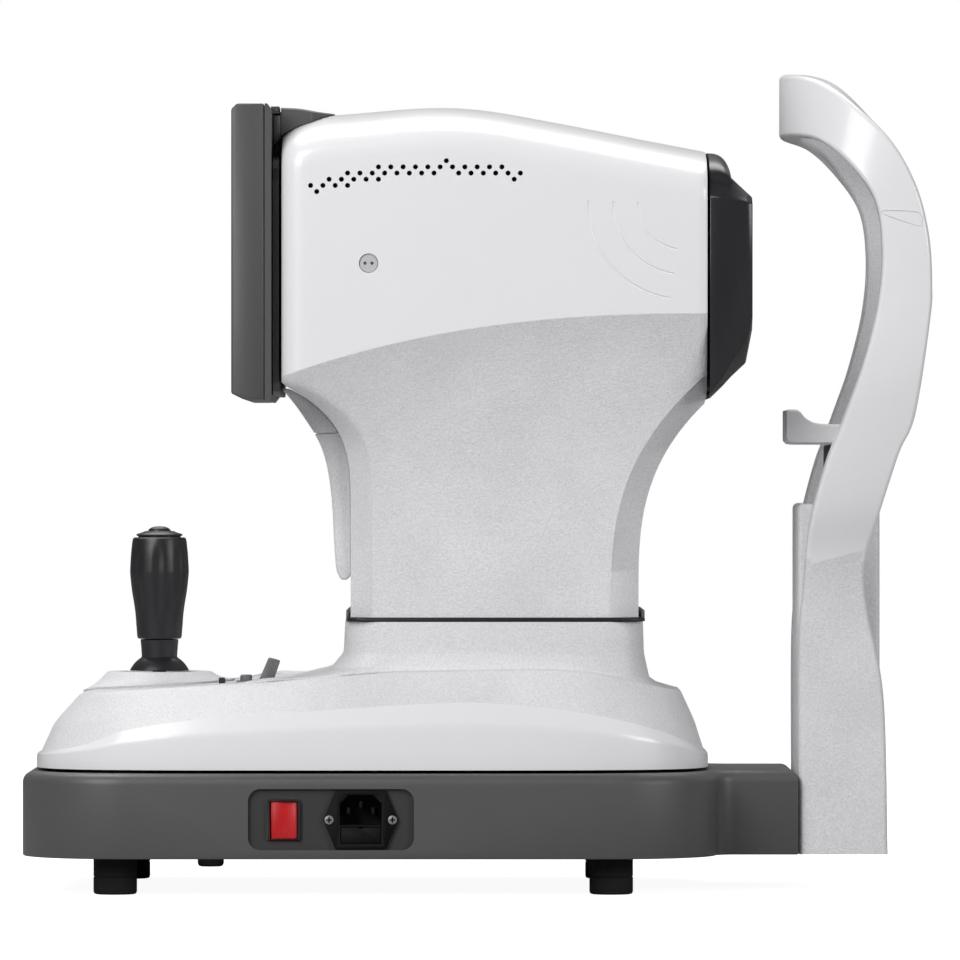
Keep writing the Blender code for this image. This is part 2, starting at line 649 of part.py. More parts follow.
def make_hood():
    """A dark cover from the display back over the head's rounded rear corner."""
    stations = [HOOD_REAR + (HOOD_FRONT - HOOD_REAR) * i / 6 for i in range(7)]
    rows = [HOOD_HALF * (i / 4 - 1) for i in range(9)]
    top_line = [(HOOD_REAR, 451.5), (-101, 450.4), (-90, 448.4), (HOOD_FRONT, 446.9)]
    rings = []
    for x in stations:
        under = [(x, y, crown_surface(x, y) + 0.5) for y in rows]
        over = []
        for y in rows:
            top = smooth(top_line, x) - 4 * (y / HOOD_HALF) ** 4
            over.append((x, y, max(crown_surface(x, y) + 0.9, top)))
        rings.append(under + over[::-1])
    add_part("head_hood", loft(rings), "dark_shell")


def nose_ring(x, half, low, high, low_chamfer, high_chamfer):
    """The nose's outline at one place. Its lower and upper corners are cut off."""
    inner = half - NOSE_SLANT
    side = [(inner, low), (half, low + low_chamfer), (half, high - high_chamfer), (inner, high)]
    outline = side + [(-y, z) for y, z in reversed(side)]
    return [(x, y, z) for y, z in outline]


def make_nose():
    rings = [
        nose_ring(132.8, 112.0, 281.5, 423.5, 3, 24),
        nose_ring(140.5, 111.5, 289.0, 422.0, 5, 23),
        nose_ring(146.0, 111.0, 294.0, 411.5, 8, 13.5),
        nose_ring(153.5, 110.5, 302.0, 403.0, 12, 6.5),
        nose_ring(157.2, 109.5, 321.0, 398.5, 8, 4),
    ]
    points, faces = loft(rings)
    nose = add_part("nose_cover", (points, faces[:-2] + faces[-1:]), "black_gloss", closed=False)
    thicken(nose, SHELL_WALL)
    cut(nose, rod(24, (0, WINDOW_Z), 140, 165, "X", 32), box((120, 133), (-130, 130), (270, 440)))
    add_part("window_glass", rod(28, (0, WINDOW_Z), 152.2, 154.3, "X", 32), "glass")


def make_head_inside():
    sleeve = add_part("column_sleeve", prism(rounded((-66, 84), (-80, 80), 16), 106, 172), "black_plastic")
    cut(sleeve, prism(rounded((-64, 82), (-78, 78), 14), 100, 180))
    frame = add_part("lift_frame", box((-20, 85), (-72, 72), (236, 304)), "aluminium")
    cut(frame, box((-30, 100), (-68, 68), (241, 300)))
    for y in (-ROD_Y, ROD_Y):
        cut(frame, rod(5.4, (ROD_X, y), 230, 250))
    cut(frame, rod(4.4, (SCREW_X, 0), 230, 250))
    barrel = [(0, -40), (26, -40), (26, 60), (31, 62), (31, 112)]
    barrel += [(22, 120), (22, 126), (17, 126), (17, 118), (0, 118)]
    optics = add_part("optics_barrel", lathe(barrel, (0, WINDOW_Z), "X", 28), "aluminium")
    join(optics, box((0, 60), (-18, 18), (304.3, WINDOW_Z - 15)))
    printer = box((-66, -30), (-34, 34), (250, 272))
    add_part("printer_mechanism", printer, "grey_plastic")
    roll = tube(6, ROLL_RADIUS, (ROLL_X, ROLL_Z), -28.5, 28.5, "Y", 28)
    add_part("paper_roll", roll, "paper", (ROLL_X, 0, ROLL_Z))


def bulge(z):
    """The outline of the cover over the printer, behind the column."""
    return smooth([(178, -77.5), (184, -80.3), (231, -83.6), (254.5, -89), (274.5, -101), (290, -113.2)], z)


def heights_between(low, high, steps):
    return [low + (high - low) * i / steps for i in range(steps + 1)]


def make_printer_cover():
    """The printer's door is a curved cover with side cheeks, and a fixed panel is above it."""
    heights = heights_between(DOOR_LOW, DOOR_TOP, 7)
    outer = [(bulge(z), z) for z in heights]
    against_column = [(rear_edge(z) - 0.9, z) for z in reversed(heights[1:])]
    outline = outer + against_column + [(-72.4, 180.2), (-74.5, DOOR_LOW)]
    pivot = (DOOR_PIVOT[0], 0, DOOR_PIVOT[1])
    door = add_part("printer_door", prism(outline, -DOOR_HALF, DOOR_HALF, "Y"), "white_shell", pivot)
    heights = heights_between(DOOR_LOW + SHELL_WALL, DOOR_TOP - SHELL_WALL, 7)
    hollow = [(bulge(z) + SHELL_WALL, z) for z in heights] + [(-60, heights[-1]), (-60, heights[0])]
    inside = DOOR_HALF - SHELL_WALL
    cut(door, prism(hollow, -inside, inside, "Y"))
    heights = heights_between(DOOR_TOP + 0.5, BULGE_TOP, 4)
    panel = [(bulge(z), z) for z in heights] + [(rear_edge(z) - 0.8, z) for z in reversed(heights)]
    add_part("rear_panel", prism(panel, -DOOR_HALF, DOOR_HALF, "Y"), "white_shell")


def make_display():
    half = DISPLAY_HALF
    x, pivot_z = DISPLAY_PIVOT
    pivot = (x, 0, pivot_z)
    outline = [(-139, 284.6), (-131.6, 281), (-120.3, 281)]
    outline += [(-120.3, 449.4), (-135.8, 449.4), (-139, 446.2)]
    bezel = add_part("display_bezel", prism(outline, -half, half, "Y"), "dark_shell", pivot)
    cut(bezel, box((-136.5, -115), (-half + 3, half - 3), (284, 446.5)))
    cut(bezel, box((-145, -130), (-half + 9, half - 9), (299, 440)))
    glass = box((-136.2, -134.2), (-half + 3.5, half - 3.5), (285, 446))
    add_part("display_glass", glass, "glass", pivot)
    rear = [(-120, 281), (-118.5, 281), (-116.2, 284)]
    rear += [(-116.2, 446.5), (-118.5, 449.4), (-120, 449.4)]
    back = add_part("display_back", prism(rear, -half, half, "Y"), "dark_shell", pivot)
    plate = prism(rounded((-96, 96), (284, 420), 14), -115.6, -112.2, "X")
    mount = add_part("display_mount", plate, "dark_shell")
    for y in (-60, 0, 60):
        join(mount, box((-115.6, -112.2), (y - 8, y + 8), (415, 448.6)))
    join(mount, rod(1.1, DISPLAY_PIVOT, -80, 80, "Y", 12))
    for y in (-74, 74):
        join(back, box((-117, -112.3), (y - 5, y + 5), (444.8, 448.8)))
        cut(back, rod(1.4, DISPLAY_PIVOT, *sorted((y - 6, y + 6)), "Y", 12))


# ---------------------------------------------------------------- headrest

LEG_WIDTH = [(21, 66), (140, 68), (190, 77), (220, 90), (256, 100), (300, 110), (345, ARCH_HALF)]
OUTER_EDGE = [(236, 21), (233.7, 109.5), (225.3, 155), (222.7, 173), (223, 190), (229, 211)]
OUTER_EDGE += [(241, 250), (250, 272), (258.3, 328), (259.2, 345), (257, 373), (249, 401.5)]
OUTER_EDGE += [(234.6, 427), (214.6, 450), (194.5, 465), (BAND_X, 470)]
INNER_EDGE = [(185, 21), (185, 138), (187.5, 171), (190.6, 208), (199, 242), (208.4, 267)]
INNER_EDGE += [(221, 304), (229, 339), (230.6, 370), (226, 396), (210.4, 417), (193.5, 430), (BAND_X, 433)]


def arch_edge(side_view, turn_x, stations):
    """A smooth edge of the arch in space, from the near foot to the middle of the forehead
    band. It is drawn in side view, and past turn_x it wraps round to the middle line."""
    path = []
    for k in range(len(side_view) - 1):
        before, start = side_view[max(k - 1, 0)], side_view[k]
        end, after = side_view[k + 1], side_view[min(k + 2, len(side_view) - 1)]
        for i in range(12):
            t = i / 12
            path.append([catmull(before[n], start[n], end[n], after[n], t) for n in (0, 1)])
    path.append(list(side_view[-1]))
    highest = max(x for x, z in path)
    wrapped = False
    points = []
    for x, z in path:
        wrapped = wrapped or x >= highest
        y = smooth(LEG_WIDTH, z)
        if wrapped:
            y = ARCH_HALF * math.sqrt(max(0.0, 1 - ((turn_x - x) / (turn_x - BAND_X)) ** 2))
        points.append(Vector((x, -y, z)))
    return evenly(points, stations)


def catmull(a, b, c, d, t):
    return 0.5 * (2 * b + (c - a) * t + (2 * a - 5 * b + 4 * c - d) * t**2 + (3 * b - a - 3 * c + d) * t**3)


def evenly(points, count):
    """Points at equal distances along a polyline."""
    lengths = [0.0]
    for a, b in zip(points, points[1:]):
        lengths.append(lengths[-1] + (b - a).length)
    found, at = [], 0
    for i in range(count + 1):
        wanted = lengths[-1] * i / count
        while at < len(points) - 2 and lengths[at + 1] < wanted:
            at += 1
        share = (wanted - lengths[at]) / (lengths[at + 1] - lengths[at])
        found.append(points[at].lerp(points[at + 1], share))
    return found


def make_headrest_arch(stations=30):
    """Two legs and a forehead band, moulded as one strip."""
    outer = arch_edge(OUTER_EDGE, 259.2, stations)
    inner = arch_edge(INNER_EDGE, 230.6, stations)
    outer += [Vector((p.x, -p.y, p.z)) for p in reversed(outer[:-1])]
    inner += [Vector((p.x, -p.y, p.z)) for p in reversed(inner[:-1])]
    count = len(outer)
    faces = [(i, i + 1, count + i + 1, count + i) for i in range(count - 1)]
    arch = add_part("headrest_arch", (outer + inner, faces), "white_shell", closed=False)
    thicken(arch, ARCH_THICK)
    cut(arch, box((150, 300), (-200, 200), (0, BASE_LOW)))


def make_headrest_fittings():
    body = box(TOWER_X, (-TOWER_HALF, TOWER_HALF), (BASE_LOW + GAP, TOWER_TOP))
    tower = add_part("chinrest_tower", body, "white_shell")
    soften(tower, 2)
    inside = (TOWER_X[0] + 3, TOWER_X[1] - 3)
    cut(tower, box(inside, (-TOWER_HALF + 3, TOWER_HALF - 3), (24, TOWER_TOP - 3)))
    slot = (POST_X[0] - 0.8, POST_X[1] + 0.8)
    cut(tower, box(slot, (-POST_HALF - 0.8, POST_HALF + 0.8), (TOWER_TOP - 10, TOWER_TOP + 5)))
    cut(tower, box((180, TOWER_X[0] + 5), (-41, 41), (24, 29)))
    body = box(POST_X, (-POST_HALF, POST_HALF), (150, 255.7))
    post = add_part("chinrest_post", body, "light_grey_plastic")
    centre = (sum(POST_X) / 2, 0)
    cut(post, rod(3.6, centre, 140, 240, segments=16))
    add_part("chinrest_screw", rod(3, centre, 60, 200, segments=16), "steel", (*centre, 60))
    motor = box((centre[0] - 14, centre[0] + 14), (-14, 14), (28.3, 59.6))
    add_part("chinrest_motor", motor, "steel")
    cup = [(179.2, 258), (182, 256), (220, 256), (223, 259), (223, 268)]
    cup += [(197, 268.4), (189, 271), (186, 275.5), (180.5, 276)]
    add_part("chinrest_cup", prism(cup, -38, 38, "Y"), "light_grey_plastic")
    make_forehead_pad()


def make_forehead_pad():
    """A soft strip on the patient's side of the forehead band."""
    rings = []
    for i in range(9):
        y = -38 + 76 * i / 8
        bend = 69 * (1 - math.sqrt(1 - (y / ARCH_HALF) ** 2))
        face = BAND_X + bend + ARCH_THICK + 2
        rings.append([(face, y, 438), (face + 6, y, 441), (face + 6, y, 461), (face, y, 464)])
    add_part("forehead_pad", loft(rings), "pad_silicone")


clear_scene()
MATERIALS = make_materials()
make_base_housing()
make_base_fittings()
make_power_panel()
make_travel_mechanism()
make_carriage_skirt()
make_carriage_inside()
make_joystick()
make_deck_controls()
make_head_covers()
make_hood()
make_nose()
make_head_inside()
make_printer_cover()
make_display()
make_headrest_arch()
make_headrest_fittings()
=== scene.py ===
"""The looks of the autorefractor: finely shaped covers, details and materials, around the
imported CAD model.

Dimensions are millimetres, in the CAD model's frame; piece scales them to metres. +X
points to the patient, +Y away from the side with the mains inlet, +Z up.
"""

import math

import bmesh
import bpy
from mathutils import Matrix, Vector
from mathutils.bvhtree import BVHTree


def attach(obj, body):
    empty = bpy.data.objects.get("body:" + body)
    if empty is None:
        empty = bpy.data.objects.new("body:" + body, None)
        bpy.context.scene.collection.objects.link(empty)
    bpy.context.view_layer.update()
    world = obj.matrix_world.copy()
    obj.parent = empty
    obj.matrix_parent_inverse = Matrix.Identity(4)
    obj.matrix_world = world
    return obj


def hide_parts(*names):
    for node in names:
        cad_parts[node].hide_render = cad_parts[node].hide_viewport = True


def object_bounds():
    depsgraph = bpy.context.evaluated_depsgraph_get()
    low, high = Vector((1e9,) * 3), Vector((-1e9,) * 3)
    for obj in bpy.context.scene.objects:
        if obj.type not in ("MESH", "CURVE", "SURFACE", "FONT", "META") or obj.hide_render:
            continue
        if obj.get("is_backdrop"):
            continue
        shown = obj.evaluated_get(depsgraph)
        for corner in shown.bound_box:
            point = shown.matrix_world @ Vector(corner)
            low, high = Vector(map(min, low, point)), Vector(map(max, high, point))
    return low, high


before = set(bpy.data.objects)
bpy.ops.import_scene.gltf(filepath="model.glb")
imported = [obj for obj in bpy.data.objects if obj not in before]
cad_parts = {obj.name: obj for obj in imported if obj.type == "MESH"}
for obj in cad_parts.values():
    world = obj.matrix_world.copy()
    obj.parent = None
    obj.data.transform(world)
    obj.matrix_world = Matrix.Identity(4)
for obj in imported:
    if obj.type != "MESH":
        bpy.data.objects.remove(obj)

CAD_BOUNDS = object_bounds()
MM = 0.001
GAP = 0.3  # between a piece and the opening that it sits in

# Base
BASE_REAR, BASE_FRONT, BASE_HALF = -259.0, 138.0, 135.0
BASE_LOW, BASE_TOP = 21.0, 69.0
BASE_CORNER, BASE_EDGE, BASE_WALL = 62.0, 6.0, 3.5
ARM_FRONT, ARM_HALF, ARM_BLEND = 184.6, 70.0, 12.0
FOOT_RADIUS, FOOT_REAR_X, FOOT_FRONT_X, FOOT_Y = 12.4, -205.0, 77.0, 102.0
PANEL_X, PANEL_Z = (-128.7, -34.9), (26.2, 60.8)
PANEL_FLOOR = -BASE_HALF + 2.5
SWITCH_X, SWITCH_Z, SWITCH_PIVOT_Y = -108.5, 43.0, -131.4
SWITCH_TILT = math.radians(8)
INLET_X, INLET_Z = -65.0, 43.3

# Carriage
SKIRT_REAR, SKIRT_FRONT, SKIRT_HALF, SKIRT_LOW = -253.0, 134.0, 120.0, 70.8
SKIRT_SQUARENESS = 4.4
WAIST_REAR, WAIST_FRONT, WAIST_HALF, WAIST_TOP = -75.0, 96.0, 92.0, 154.5
STICK_X, BOSS_TOP, BALL_Z, BALL_RADIUS = -183.5, 124.6, 80.6, 9.0
LEVER_X, CONTROLS_Y, PLATE_X, PLATE_HALF = -123.0, -60.0, (-137.0, -111.0), 9.7
KEY_X, KEY_RADIUS, KEY_TOP, KEYS_LOW = -131.7, 3.3, 123.8, 116.2
PRINT_BUTTON_X, PRINT_BUTTON_RADIUS, PRINT_BUTTON_TOP = -145.5, 1.9, 122.2
LEVER_OUTLINE = [(-129.6, 108), (-120.3, 108), (-112, 131.9), (-118.7, 133.8)]

# Column and head
COLUMN_REAR, COLUMN_FRONT, COLUMN_HALF, COLUMN_LOW = -71.5, 93.0, 90.0, 157.0
HEAD_REAR, HEAD_FRONT, HEAD_HALF = -110.5, 131.5, 115.0
CROWN, CROWN_POWER = 29.0, 2.6
REAR_BEVEL = 12.5
WINDOW_Z = 366.0
BROW_REAR, BROW_DEPTH, BROW_HALF = 133.0, 12.6, 104.5
BROW_LOW, BROW_RISE, BROW_POWER = 404.5, 19.6, 2.8
PLUG = (-60.8, 358.4)
VENT_START, VENT_STEP, VENT_RADIUS = (-93.7, 399.0), 3.5, 1.45
VENT_ROWS = (
    (1,),
    (0, 2, 4, 6),
    (3, 5, 7, 9, 11, 33),
    tuple(range(6, 22, 2)) + tuple(range(24, 36, 2)),
    tuple(range(11, 32, 2)),
    (22,),
)
DISPLAY_HALF = 107.0
HOOD_REAR, HOOD_TAPER, HOOD_FRONT = -111.3, -95.0, -81.5
HOOD_HALF, HOOD_FRONT_HALF, CHEEK_WIDTH = 77.0, 50.0, 6.0
DOOR_HALF, DOOR_LOW, DOOR_TOP, BULGE_TOP = 44.0, 178.0, 262.0, 288.0

# Headrest
ARCH_THICK, ARCH_HALF, BAND_X = 14.0, 112.0, 176.0
PAD_HALF, PAD_DEPTH = 38.0, 6.0
TOWER_X, TOWER_HALF, TOWER_TOP = (185.3, 232.0), 51.0, 222.0
POST_X, POST_HALF = (202.0, 222.0), 12.0

# Camera and light
CAMERA_PLACE, CAMERA_LENS, CAMERA_SENSOR = (2.4, -5200.0, 235.4), 336.2, 36.0


# ---------------------------------------------------------------- materials


def link(tree, start, end):
    tree.links.new(start, end)


def noise(tree, size_mm, detail=2.0, seed=0.0):
    """A noise texture with grains of about this size, fixed to the object."""
    coordinates = tree.nodes.new("ShaderNodeTexCoord")
    shift = tree.nodes.new("ShaderNodeMapping")
    shift.inputs["Location"].default_value = (seed, seed * 0.7, -seed)
    texture = tree.nodes.new("ShaderNodeTexNoise")
    texture.inputs["Scale"].default_value = 1 / (size_mm * MM)
    texture.inputs["Detail"].default_value = detail
    link(tree, coordinates.outputs["Object"], shift.inputs["Vector"])
    link(tree, shift.outputs["Vector"], texture.inputs["Vector"])
    return texture


def spread(tree, source, low, high, start=0.3, end=0.7):
    """The texture's value, stretched between two levels."""
    levels = tree.nodes.new("ShaderNodeMapRange")
    levels.inputs["From Min"].default_value = start
    levels.inputs["From Max"].default_value = end
    levels.inputs["To Min"].default_value = low
    levels.inputs["To Max"].default_value = high
    link(tree, source, levels.inputs["Value"])
    return levels.outputs["Result"]


def tinted(tree, factor, one, two):
    mix = tree.nodes.new("ShaderNodeMix")
    mix.data_type = "RGBA"
    mix.inputs["A"].default_value = (*one, 1)
    mix.inputs["B"].default_value = (*two, 1)
    link(tree, factor, mix.inputs["Factor"])
    return mix.outputs["Result"]


def moulded(
    name, colour, roughness, grain=0.0, grain_mm=0.9, speckle=0.02, coat=0.0, metallic=0.0, shine=0.5
):
    """Moulded, painted or plated material. grain is the depth of its surface texture in
    millimetres; speckle is how much the colour varies from spot to spot; shine is how much
    the bare surface reflects."""
    material = bpy.data.materials.new(name)
    material.use_nodes = True
    tree = material.node_tree
    shader = tree.nodes["Principled BSDF"]
    shader.inputs["Metallic"].default_value = metallic
    shader.inputs["Specular IOR Level"].default_value = shine
    shader.inputs["Coat Weight"].default_value = coat
    shader.inputs["Coat Roughness"].default_value = 0.08
    fine = noise(tree, grain_mm, 2.5)
    broad = noise(tree, 45, 2.0, seed=3.1)
    darker = tuple(channel * (1 - speckle) for channel in colour)
    lighter = tuple(min(1.0, channel * (1 + speckle)) for channel in colour)
    blend = tree.nodes.new("ShaderNodeMath")
    blend.operation = "MULTIPLY_ADD"
    blend.inputs[1].default_value = 0.3
    link(tree, spread(tree, broad.outputs["Fac"], 0, 1), blend.inputs[0])
    link(tree, spread(tree, fine.outputs["Fac"], 0, 0.7), blend.inputs[2])
    link(tree, tinted(tree, blend.outputs["Value"], darker, lighter), shader.inputs["Base Color"])
    uneven = spread(tree, broad.outputs["Fac"], roughness * 0.93, roughness * 1.07)
    link(tree, uneven, shader.inputs["Roughness"])
    if grain:
        bump = tree.nodes.new("ShaderNodeBump")
        bump.inputs["Distance"].default_value = grain * MM
        bump.inputs["Strength"].default_value = 1.0
        link(tree, fine.outputs["Fac"], bump.inputs["Height"])
        link(tree, bump.outputs["Normal"], shader.inputs["Normal"])
    return material


def brushed(name, colour, roughness, along="X"):
    """Metal with fine lines in one direction."""
    material = moulded(name, colour, roughness, metallic=1.0)
    tree = material.node_tree
    lines = noise(tree, 0.25, 2.0, seed=1.7)
    stretch = lines.inputs["Vector"].links[0].from_node
    stretch.inputs["Scale"].default_value = [0.03 if axis == along else 1.0 for axis in "XYZ"]
    bump = tree.nodes.new("ShaderNodeBump")
    bump.inputs["Distance"].default_value = 0.02 * MM
    link(tree, lines.outputs["Fac"], bump.inputs["Height"])
    link(tree, bump.outputs["Normal"], tree.nodes["Principled BSDF"].inputs["Normal"])
    return material


def clear_glass(name, colour, roughness, transmission, coat=1.0):
    material = moulded(name, colour, roughness, speckle=0.01, coat=coat)
    shader = material.node_tree.nodes["Principled BSDF"]
    shader.inputs["Transmission Weight"].default_value = transmission
    shader.inputs["IOR"].default_value = 1.5
    return material


def rolled_paper(name):
    """Paper seen as a roll: thin layers show on its ends."""
    material = moulded(name, (0.82, 0.81, 0.77), 0.85, grain=0.02, grain_mm=0.5)
    tree = material.node_tree
    rings = tree.nodes.new("ShaderNodeTexWave")
    rings.wave_type = "RINGS"
    rings.rings_direction = "Y"
    rings.inputs["Scale"].default_value = 320
    place = tree.nodes.new("ShaderNodeTexCoord")
    shift = tree.nodes.new("ShaderNodeMapping")
    shift.inputs["Location"].default_value = (0.045, 0, -0.226)
    link(tree, place.outputs["Object"], shift.inputs["Vector"])
    link(tree, shift.outputs["Vector"], rings.inputs["Vector"])
    colour = tinted(tree, rings.outputs["Fac"], (0.70, 0.69, 0.64), (0.85, 0.84, 0.80))
    link(tree, colour, tree.nodes["Principled BSDF"].inputs["Base Color"])
    return material


def make_materials():
    """Each look by name, with the record's slot that it belongs to."""
    smooth_white, grained = (0.80, 0.80, 0.815), (0.69, 0.69, 0.705)
    plastics = {
        "smooth white": ("white_smooth", smooth_white, 0.3, 0.012, 0.9, 0.008, "white_shell"),
        "grained white": ("white_grained", grained, 0.5, 0.34, 1.15, 0.13, "white_shell"),
        "base grey": ("base_grey", (0.08, 0.08, 0.08), 0.46, 0.02, 0.5, 0.02, "base_paint"),
        # The arm's look is the base's paint made darker: painted shade, for the arm recessed behind the
        # base's rounded corner.
        "arm grey": ("arm_grey", (0.068, 0.068, 0.069), 0.48, 0.03, 0.5, 0.02, "base_paint"),
        "panel grey": ("panel_grey", (0.026, 0.026, 0.028), 0.6, 0.03, 0.5, 0.02, "base_paint"),
        "dark grey": ("dark_grey", (0.073, 0.073, 0.074), 0.48, 0.02, 0.5, 0.02, "dark_plastic"),
        "nose": ("nose_gloss", (0.016, 0.0155, 0.018), 0.3, 0.004, 0.6, 0.02, "nose_gloss"),
        "stick": ("stick_black", (0.013, 0.013, 0.015), 0.38, 0.02, 0.6, 0.02, "joystick_black"),
        "black": ("black_plastic", (0.006, 0.006, 0.0065), 0.5, 0.02, 0.5, 0.02, "black_plastic"),
        "socket": ("socket_black", (0.005, 0.005, 0.0055), 0.7, 0.02, 0.5, 0.02, "black_plastic"),
        "grey": ("grey_plastic", (0.12, 0.12, 0.125), 0.45, 0.02, 0.5, 0.02, "grey_plastic"),
        "chin white": ("chinrest_white", (0.72, 0.72, 0.735), 0.45, 0.03, 0.6, 0.02, "light_grey_plastic"),
        "light grey": ("light_grey_plastic", (0.5, 0.5, 0.515), 0.42, 0.03, 0.6, 0.02, "light_grey_plastic"),
        "red": ("red_plastic", (0.5, 0.006, 0.008), 0.35, 0.004, 0.7, 0.02, "red_plastic"),
        "rubber": ("foot_rubber", (0.004, 0.004, 0.004), 0.85, 0.05, 0.7, 0.02, "rubber"),
        "silicone": ("silicone", (0.62, 0.62, 0.64), 0.6, 0.03, 0.8, 0.02, "silicone"),
        "screw": ("screw_zinc", (0.3, 0.3, 0.31), 0.35, 0.01, 0.4, 0.02, "steel"),
    }
    finish = {"smooth white": {"coat": 0.25}, "socket": {"shine": 0.16}, "screw": {"metallic": 0.6}}
    looks = {
        "window": (clear_glass("window_glass", (0.35, 0.42, 0.5), 0.03, 0.85), "coated_glass"),
        "screen": (clear_glass("screen_glass", (0.008, 0.009, 0.011), 0.06, 0.0), "screen_glass"),
        "steel": (brushed("steel", (0.56, 0.56, 0.57), 0.28, "Y"), "steel"),
        "dark steel": (brushed("dark_steel", (0.2, 0.2, 0.21), 0.35, "Z"), "motor_steel"),
        "aluminium": (brushed("aluminium", (0.72, 0.72, 0.73), 0.36, "X"), "aluminium"),
        "paper": (rolled_paper("paper"), "paper"),
    }
    for look, (*settings, slot) in plastics.items():
        looks[look] = (moulded(*settings, **finish.get(look, {})), slot)
    return looks


# ---------------------------------------------------------------- drawing tools


def arc(centre_x, centre_y, radius, start, end, steps):
    """Points on an arc, with its angles in degrees."""
    angles = [math.radians(start + (end - start) * i / steps) for i in range(steps + 1)]
    return [(centre_x + radius * math.cos(a), centre_y + radius * math.sin(a)) for a in angles]


def rounded(x_range, y_range, radius, steps=8):
    """A rectangle with round corners; with one step they are chamfers."""
    (x0, x1), (y0, y1), r = x_range, y_range, radius
    corners = ((x1 - r, y0 + r, -90), (x1 - r, y1 - r, 0), (x0 + r, y1 - r, 90), (x0 + r, y0 + r, 180))
    return [p for x, y, turn in corners for p in arc(x, y, r, turn, turn + 90, steps)]


def catmull(a, b, c, d, t):
    """A smooth step from b to c, given the values before and after them."""
    return 0.5 * (2 * b + (c - a) * t + (2 * a - 5 * b + 4 * c - d) * t**2 + (3 * b - a - 3 * c + d) * t**3)


def smooth(table, place):
    """The value at a place on a smooth curve through the table's (place, value) points."""
    if place <= table[0][0]:
        return table[0][1]
    if place >= table[-1][0]:
        return table[-1][1]
    at = next(i for i in range(len(table) - 1) if place <= table[i + 1][0])
    slopes = []
    for i in (at, at + 1):
        before, after = table[max(i - 1, 0)], table[min(i + 1, len(table) - 1)]
        slopes.append((after[1] - before[1]) / (after[0] - before[0]))
    (x0, y0), (x1, y1) = table[at], table[at + 1]
    t = (place - x0) / (x1 - x0)
    ease = t * t * (3 - 2 * t)
    pull = (x1 - x0) * (slopes[0] * t * (1 - t) ** 2 - slopes[1] * t * t * (1 - t))
    return y0 + (y1 - y0) * ease + pull


def place_on(axis, u, v, along):
    """A point from its place across an axis and along it."""
    return {"X": (along, u, v), "Y": (u, along, v), "Z": (u, v, along)}[axis]


def loft(rings, capped=True, closed=True):
    """Rings of equally many points, joined in turn. closed joins each ring's ends."""
    count = len(rings[0])
    points = [point for ring in rings for point in ring]
    faces = []
    for k in range(len(rings) - 1):
        for i in range(count if closed else count - 1):
            j = (i + 1) % count
            faces.append((k * count + i, k * count + j, (k + 1) * count + j, (k + 1) * count + i))
    if capped:
        faces.append(tuple(range(count))[::-1])
        faces.append(tuple((len(rings) - 1) * count + i for i in range(count)))
    return points, faces


def prism(outline, low, high, axis="Z"):
    return loft([[place_on(axis, u, v, along) for u, v in outline] for along in (low, high)])


def box(x_range, y_range, z_range):
    (x0, x1), (y0, y1) = x_range, y_range
    return prism([(x0, y0), (x1, y0), (x1, y1), (x0, y1)], *z_range)


def lathe(profile, centre, axis="Z", segments=64, ripple=None):
    """A turned piece from (radius, place along the axis) points. A profile whose ends aren't
    on the axis closes on itself. ripple(angle, along) scales the radius."""
    points, rows, faces = [], [], []
    for radius, along in profile:
        if radius == 0:
            rows.append([len(points)] * segments)
            points.append(place_on(axis, *centre, along))
            continue
        rows.append([len(points) + i for i in range(segments)])
        for i in range(segments):
            a = 2 * math.pi * i / segments
            r = radius * (ripple(a, along) if ripple else 1)
            points.append(place_on(axis, centre[0] + r * math.cos(a), centre[1] + r * math.sin(a), along))
    pairs = list(zip(rows, rows[1:]))
    if profile[0][0] > 0:
        pairs.append((rows[-1], rows[0]))
    for one, two in pairs:
        for i in range(segments):
            j = (i + 1) % segments
            corners = list(dict.fromkeys((one[i], one[j], two[j], two[i])))
            if len(corners) > 2:
                faces.append(corners)
    return points, faces


def rod(radius, centre, low, high, axis="Z", segments=48):
    return lathe([(0, low), (radius, low), (radius, high), (0, high)], centre, axis, segments)


def curve_through(points, steps):
    """A smooth line through the points, with steps between each two."""
    line = []
    for k in range(len(points) - 1):
        before, after = points[max(k - 1, 0)], points[min(k + 2, len(points) - 1)]
        for i in range(steps):
            sides = zip(before, points[k], points[k + 1], after)
            line.append(tuple(catmull(*values, i / steps) for values in sides))
    return line + [tuple(points[-1])]


def tube_along(path, radius, sides=8):
    """A closed tube along a line in space."""
    path = [Vector(point) for point in path]
    rings = []
    for k, point in enumerate(path):
        ahead = (path[min(k + 1, len(path) - 1)] - path[max(k - 1, 0)]).normalized()
        across = ahead.orthogonal() if k == 0 else across - ahead * across.dot(ahead)
        across.normalize()
        other = ahead.cross(across)
        turns = [2 * math.pi * i / sides for i in range(sides)]
        reaches = [radius * (across * math.cos(a) + other * math.sin(a)) for a in turns]
        rings.append([tuple(point + reach) for reach in reaches])
    return loft(rings)


def together(*shapes):
    """Several shapes as one."""
    points, faces = [], []
    for more_points, more_faces in shapes:
        faces += [tuple(len(points) + i for i in face) for face in more_faces]
        points += list(more_points)
    return points, faces


def new_object(name, shape, closed=True):
    points, faces = shape
    mesh = bpy.data.meshes.new(name)
    mesh.from_pydata([Vector(point) * MM for point in points], [], faces)
    work = bmesh.new()
    work.from_mesh(mesh)
    bmesh.ops.remove_doubles(work, verts=work.verts, dist=0.002 * MM)
    if closed:
        bmesh.ops.recalc_face_normals(work, faces=work.faces)
    work.to_mesh(mesh)
    work.free()
    obj = bpy.data.objects.new(name, mesh)
    bpy.context.scene.collection.objects.link(obj)
    return obj


def settle(obj):
    """Applies the object's modifiers."""
    bpy.context.view_layer.update()
    graph = bpy.context.evaluated_depsgraph_get()
    mesh = bpy.data.meshes.new_from_object(obj.evaluated_get(graph))
    obj.modifiers.clear()
    obj.data = mesh


